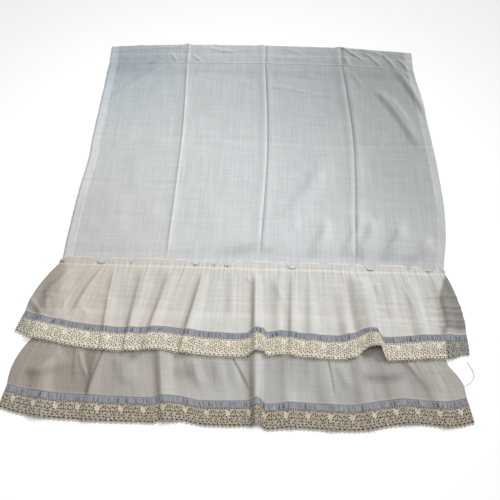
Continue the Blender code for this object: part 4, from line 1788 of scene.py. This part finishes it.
@dataclass
class Studio:
    """Pale floor, soft light and the camera."""

    floor_size: float = 8.0
    focal_length: float = 36.0
    sensor_width: float = 36.0
    eye: tuple = (-1.0, -1030.0, 901.0)
    down: float = 63.2
    turn: float = 1.8
    sky: float = 0.34
    sun_power: float = 1.75
    sun_from: tuple = (1.0, 0.85, 0.95)
    sun_width: float = 14.0
    lamp_power: float = 9.5
    lamp_at: tuple = (-0.05, -0.10, 1.25)

    def build_floor(self, finish: bpy.types.Material) -> None:
        """Adds the floor under the curtain.

        Args:
            finish: The finish.
        """
        deselect()
        bpy.ops.mesh.primitive_plane_add(size=self.floor_size, location=(0, 0, 0))
        floor = bpy.context.object
        floor.name = "floor"
        floor.data.materials.append(finish)

    def build_camera(self) -> None:
        """Adds the camera at the photograph's angle."""
        data = bpy.data.cameras.new("camera")
        data.lens = self.focal_length
        data.sensor_width = self.sensor_width
        camera = bpy.data.objects.new("camera", data)
        camera.location = Vector(((np.array(self.eye) + SHIFT) * MM).tolist())
        camera.rotation_euler = (math.radians(90 - self.down), 0, math.radians(self.turn))
        bpy.context.scene.collection.objects.link(camera)
        bpy.context.scene.camera = camera

    def add_light(self, data: bpy.types.Light, place: tuple) -> None:
        """Adds a light that points from its place to the curtain's middle.

        Args:
            data: The light.
            place: Where it stands.
        """
        light = bpy.data.objects.new(data.name, data)
        light.location = place
        light.rotation_euler = (-Vector(place)).to_track_quat("-Z", "Y").to_euler()
        bpy.context.scene.collection.objects.link(light)

    def build_lights(self) -> None:
        """Adds an even sky, a soft slanting light from the upper right and a wide lamp overhead."""
        world = bpy.data.worlds.new("studio")
        world.use_nodes = True
        world.node_tree.nodes["Background"].inputs[0].default_value = (1.0, 1.0, 1.0, 1.0)
        world.node_tree.nodes["Background"].inputs[1].default_value = self.sky
        bpy.context.scene.world = world
        bpy.context.scene.view_settings.view_transform = "Standard"
        slanting = bpy.data.lights.new("slanting_light", "SUN")
        slanting.energy = self.sun_power
        slanting.angle = math.radians(self.sun_width)
        self.add_light(slanting, self.sun_from)
        lamp = bpy.data.lights.new("overhead_lamp", "AREA")
        lamp.shape = "SQUARE"
        lamp.size = 0.7
        lamp.energy = self.lamp_power
        self.add_light(lamp, self.lamp_at)


def lower_tier() -> Tier:
    """The lower tier with its folds."""
    return Tier(
        name="lower",
        seam_y=-742.0,
        top=10.0,
        hem_line=LOWER_HEM,
        seam_ends=(-388, 340),
        bow=(-17, 8),
        right_edge=((0.0, 0.0), (0.25, -8.0), (0.47, -15.0), (0.65, -6.0), (0.82, 0.0), (1.0, 0.0)),
        dark_by_place=((-440, 1.0), (374, 1.0)),
        lace_opening=0.42,
        lace_slope=(1.25, 1.8),
        painted_fold_light=0.10,
        fold_shade=0.15,
        hem_light=0.50,
        seed=5,
        warmth_by_place=(
            (-440, 1.0), (-330, 0.95), (-250, 0.65),
            (-120, 0.3), (60, 0.0), (200, 0.2), (374, 0.35),
        ),
        wrinkles=(
            Wrinkle((248, -770), (302, -846), 3.5, 12.0, 5, 0.3),
            Wrinkle((316, -792), (336, -853), 2.0, 7.0),
            Wrinkle((-320, -792), (-298, -842), 1.6, 4.5),
            Wrinkle((-350, -790), (-404, -836), 4.0, 11.0, 4, -0.3),
            Wrinkle((-416, -834), (-324, -806), 3.0, 9.0, -5),
            Wrinkle((-250, -800), (-230, -850), 2.2, 9.0),
            Wrinkle((-110, -800), (-96, -850), 2.0, 8.0),
            Wrinkle((150, -800), (170, -850), 2.0, 8.0),
        ),
        # Painted shade lines; a height below 0 paints a highlight line.
        shades=(
            Wrinkle((-52, -776), (-6, -856), 0.60, 2.1, 1),
            Wrinkle((129, -774), (143, -866), 0.42, 1.8, 2),
            Wrinkle((-274, -772), (-299, -884), 0.34, 2.6),
            Wrinkle((-320, -786), (-295, -842), -0.34, 2.0, -2),
            Wrinkle((-309, -790), (-288, -846), 0.12, 3.5, -2),
            Wrinkle((-226, -758), (-220, -812), 0.38, 9.0),
            Wrinkle((182, -776), (292, -780), 0.52, 12.0),
            Wrinkle((212, -792), (288, -792), 0.24, 4.0),
            Wrinkle((252, -778), (308, -848), 0.28, 5.0, 4),
            Wrinkle((186, -822), (276, -818), 0.26, 9.0, -5),
            Wrinkle((-150, -822), (-104, -832), 0.14, 11.0),
            Wrinkle((66, -780), (70, -868), 0.12, 3.5),
            Wrinkle((90, -790), (92, -860), 0.07, 7.0),
            Wrinkle((176, -800), (182, -862), 0.07, 9.0),
            Wrinkle((-70, -796), (-74, -860), 0.07, 4.0),
        ),
        folds=(
            Fold(-352, -372, 5.0, 26, 0.2, 0.20, 9.0),
            Fold(-325, -312, 2.5, 12, -0.4, 0.15, 0.9),
            Fold(-276, -288, 3.5, 16, -0.7, 0.05, 9.0),
            Fold(-245, -212, 3.5, 18, 0.2, 0.10, 0.9),
            Fold(-176, -157, 6.5, 21, -0.5, 0.00, 9.0),
            Fold(-130, -88, 3.0, 18, 0.3, 0.10, 0.9),
            Fold(-80, -50, 3.0, 14, 0.2, 0.10, 0.9),
            Fold(-50, -22, 2.5, 12, 0.5, 0.10, 0.9),
            Fold(3, 5, 9.0, 13, -0.20, 0.00, 9.0),
            Fold(60, 66, 3.0, 16, 0.4, 0.10, 9.0),
            Fold(128, 136, 3.0, 17, 0.7, 0.10, 9.0),
            Fold(178, 200, 2.5, 18, 0.2, 0.10, 9.0),
            Fold(228, 262, 3.0, 26, 0.2, 0.15, 9.0),
            Fold(292, 326, 3.5, 20, 0.2, 0.10, 9.0),
        ),
    )


def upper_tier() -> Tier:
    """The upper tier with its folds and the curls of its frill."""
    return Tier(
        name="upper",
        seam_y=-618.0,
        top=17.0,
        hem_line=UPPER_HEM,
        seam_ends=(-392, 369),
        bow=(-10, 8),
        dark_by_place=(
            (-440, 1.7), (-414, 1.3), (-398, 0.3),
            (-200, 0.15), (344, 0.2), (352, 2.0), (392, 2.0),
        ),
        lace_opening=0.44,
        right_edge=((0.0, 0.0), (1.0, 0.0), (1.37, -3.0)),
        drawn_up=((182, 0.0), (204, 0.22), (224, 0.26), (238, 0.0), (350, 0.0), (380, 0.12)),
        seed=11,
        cross_crease_y=-687.0,
        warmth_by_place=(
            (-440, 1.0), (-330, 0.75), (-250, 0.5),
            (-150, 0.22), (0, 0.0), (300, 0.05), (390, 0.2),
        ),
        wrinkles=(
            Wrinkle((-362, -630), (-412, -690), 3.0, 5.5, 0, 0.35),
            Wrinkle((-436, -690), (-398, -730), 2.6, 5.0, 0, 0.3),
            Wrinkle((-410, -684), (-384, -690), 1.8, 5.0),
            Wrinkle((-401, -690), (-396, -716), 1.8, 4.0),
            Wrinkle((-366, -692), (-366, -718), 1.4, 3.5),
            Wrinkle((-340, -700), (-310, -730), 1.4, 6.0),
            Wrinkle((-296, -672), (-286, -700), 1.4, 9.0),
            Wrinkle((320, -668), (406, -664), 1.6, 3.0, 2),
            Wrinkle((330, -688), (412, -682), 2.0, 3.2, -2),
            Wrinkle((322, -701), (412, -697), 1.7, 3.0, 2),
            Wrinkle((312, -714), (412, -710), 2.0, 3.0, -2),
            Wrinkle((330, -727), (410, -720), 1.5, 3.0, 2),
            Wrinkle((215, -690), (262, -700), 1.0, 3.0, 2),
            Wrinkle((205, -716), (250, -706), 0.9, 3.0, 2),
            Wrinkle((270, -706), (330, -716), 0.8, 3.0, 2),
            Wrinkle((232, -640), (238, -668), 1.4, 4.5),
            Wrinkle((282, -640), (300, -690), 1.4, 4.0, 0, 0.3),
            Wrinkle((30, -640), (60, -700), 1.2, 6.0),
            Wrinkle((-20, -634), (-10, -650), 1.4, 3.0),
        ),
        curls=(
            Curl(-388, 8, 0.9),
            Curl(-310, 17, 1.0),
            Curl(-250, 10, 0.7),
            Curl(-168, 6, 0.3),
            Curl(-122, 14, 0.8),
            Curl(-86, 12, 0.7),
            Curl(-60, 13, 0.8),
            Curl(-24, 10, 0.5),
            Curl(34, 7, 0.35),
            Curl(70, 17, 1.0),
            Curl(130, 9, 0.45),
            Curl(185, 8, 0.45),
            Curl(223, 15, 0.9),
            Curl(298, 9, 0.6),
            Curl(338, 22, 0.8),
            Curl(366, 9, 0.8),
        ),
        folds=(
            Fold(-362, -402, 4.5, 20, 0.1, 0.10, 9.0),
            Fold(-301, -349, 4.5, 15, -0.6, 0.02, 0.95),
            Fold(-280, -280, 4.0, 13, -0.6, 0.02, 9.0),
            Fold(-220, -233, 5.0, 14, -0.6, 0.02, 9.0),
            Fold(-165, -193, 5.5, 15, -0.6, 0.02, 9.0),
            Fold(-102, -125, 7.0, 17, -0.6, 0.05, 9.0),
            Fold(-46, -46, 3.0, 13, 0.4, 0.05, 0.9),
            Fold(-2, 1, 9.0, 12, -0.35, 0.00, 9.0),
            Fold(44, 45, 3.5, 11, 0.6, 0.05, 9.0),
            Fold(72, 68, 4.5, 13, -0.6, 0.02, 9.0),
            Fold(106, 106, 3.5, 14, 0.0, 0.10, 9.0),
            Fold(160, 172, 4.5, 15, 0.2, 0.10, 9.0),
            Fold(200, 216, 13.0, 25, 0.45, 0.00, 9.0),
            Fold(250, 262, 3.0, 14, 0.0, 0.05, 0.9),
            Fold(294, 312, 4.0, 16, 0.4, 0.05, 9.0),
            Fold(346, 360, 5.0, 17, 0.0, 0.05, 9.0),
        ),
    )


def points_of(x: np.ndarray, y: np.ndarray, top: np.ndarray) -> np.ndarray:
    """Rows of x, y, top from three arrays."""
    return np.stack((x.ravel(), y.ravel(), top.ravel()), axis=1)


def lay_tiers(panel: Panel, lower: Tier, upper: Tier) -> None:
    """Gives each tier the layers that it lies on.

    Args:
        panel: The panel under both tiers.
        lower: The lower tier.
        upper: The upper tier.
    """
    y, share = np.meshgrid(np.linspace(panel.flat_by, panel.end_y, 25), np.linspace(0, 1, 90))
    left, right = panel.edges(y)
    x = left + (right - left) * share
    in_hem = np.minimum(x - left, right - x) < panel.hem + 2
    tail = points_of(x, y, np.where(in_hem, 2.5, 1.5))
    lower.support = Support([tail], 9.0, 30.0)
    ends = (lower.hem_line[0][0], lower.hem_line[-1][0])
    u, w = np.meshgrid(np.linspace(*ends, 300), np.linspace(-10, 70, 30))
    x, y, z = np.moveaxis(lower.surface(u, w), 2, 0)
    upper.support = Support([tail, points_of(x, y, z + lower.thickness + 1.2)], 7.0, 30.0)


def main() -> None:
    """Builds the curtain around the frame."""
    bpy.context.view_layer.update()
    panel_voile = Voile("panel_voile", single=(0.28, 0.298, 0.308), double=(0.58, 0.605, 0.615)).material()
    tier_voile = Voile("tier_voile", single=(0.21, 0.20, 0.188), double=(0.70, 0.70, 0.665)).material()
    chambray = Chambray().material()
    # Each lace's last colour is the paler painted shade in its openings.
    laces = {
        "upper": LaceCotton("upper_lace_cotton", (0.76, 0.70, 0.57), (0.80, 0.74, 0.61), (0.22, 0.17, 0.115)),
        "lower": LaceCotton(
            "lower_lace_cotton", (0.44, 0.385, 0.305), (0.66, 0.585, 0.465), (0.06, 0.05, 0.035)
        ),
    }
    grey_thread = SewingThread("grey_thread", (0.32, 0.32, 0.31)).material()
    white_thread = SewingThread("white_thread", (0.62, 0.63, 0.62)).material()
    studio = Studio()
    studio.build_camera()
    LooseThread().build(grey_thread)
    panel = Panel()
    panel.build(panel_voile)
    pocket = RodPocket(panel)
    pocket.build(panel_voile)
    lower, upper = lower_tier(), upper_tier()
    lay_tiers(panel, lower, upper)
    for tier in (upper, lower):
        tier.build_cloth(tier_voile)
        tier.build_band(chambray)
        tier.build_lace(laces[tier.name].material())
        StitchRow().sew(f"{tier.name}_tier_stitches", tier.stitch_lines(), white_thread)
    StitchRow(pitch=3.4, length=3.0, width=0.9, height=0.8).sew(
        "pocket_stitches", [pocket.seam_line()], white_thread
    )
    StitchRow(pitch=3.4).sew("side_hem_stitches", panel.hem_lines(), white_thread)
    studio.build_floor(PaleFloor().material())
    studio.build_lights()


if __name__ == "__main__":
    main()
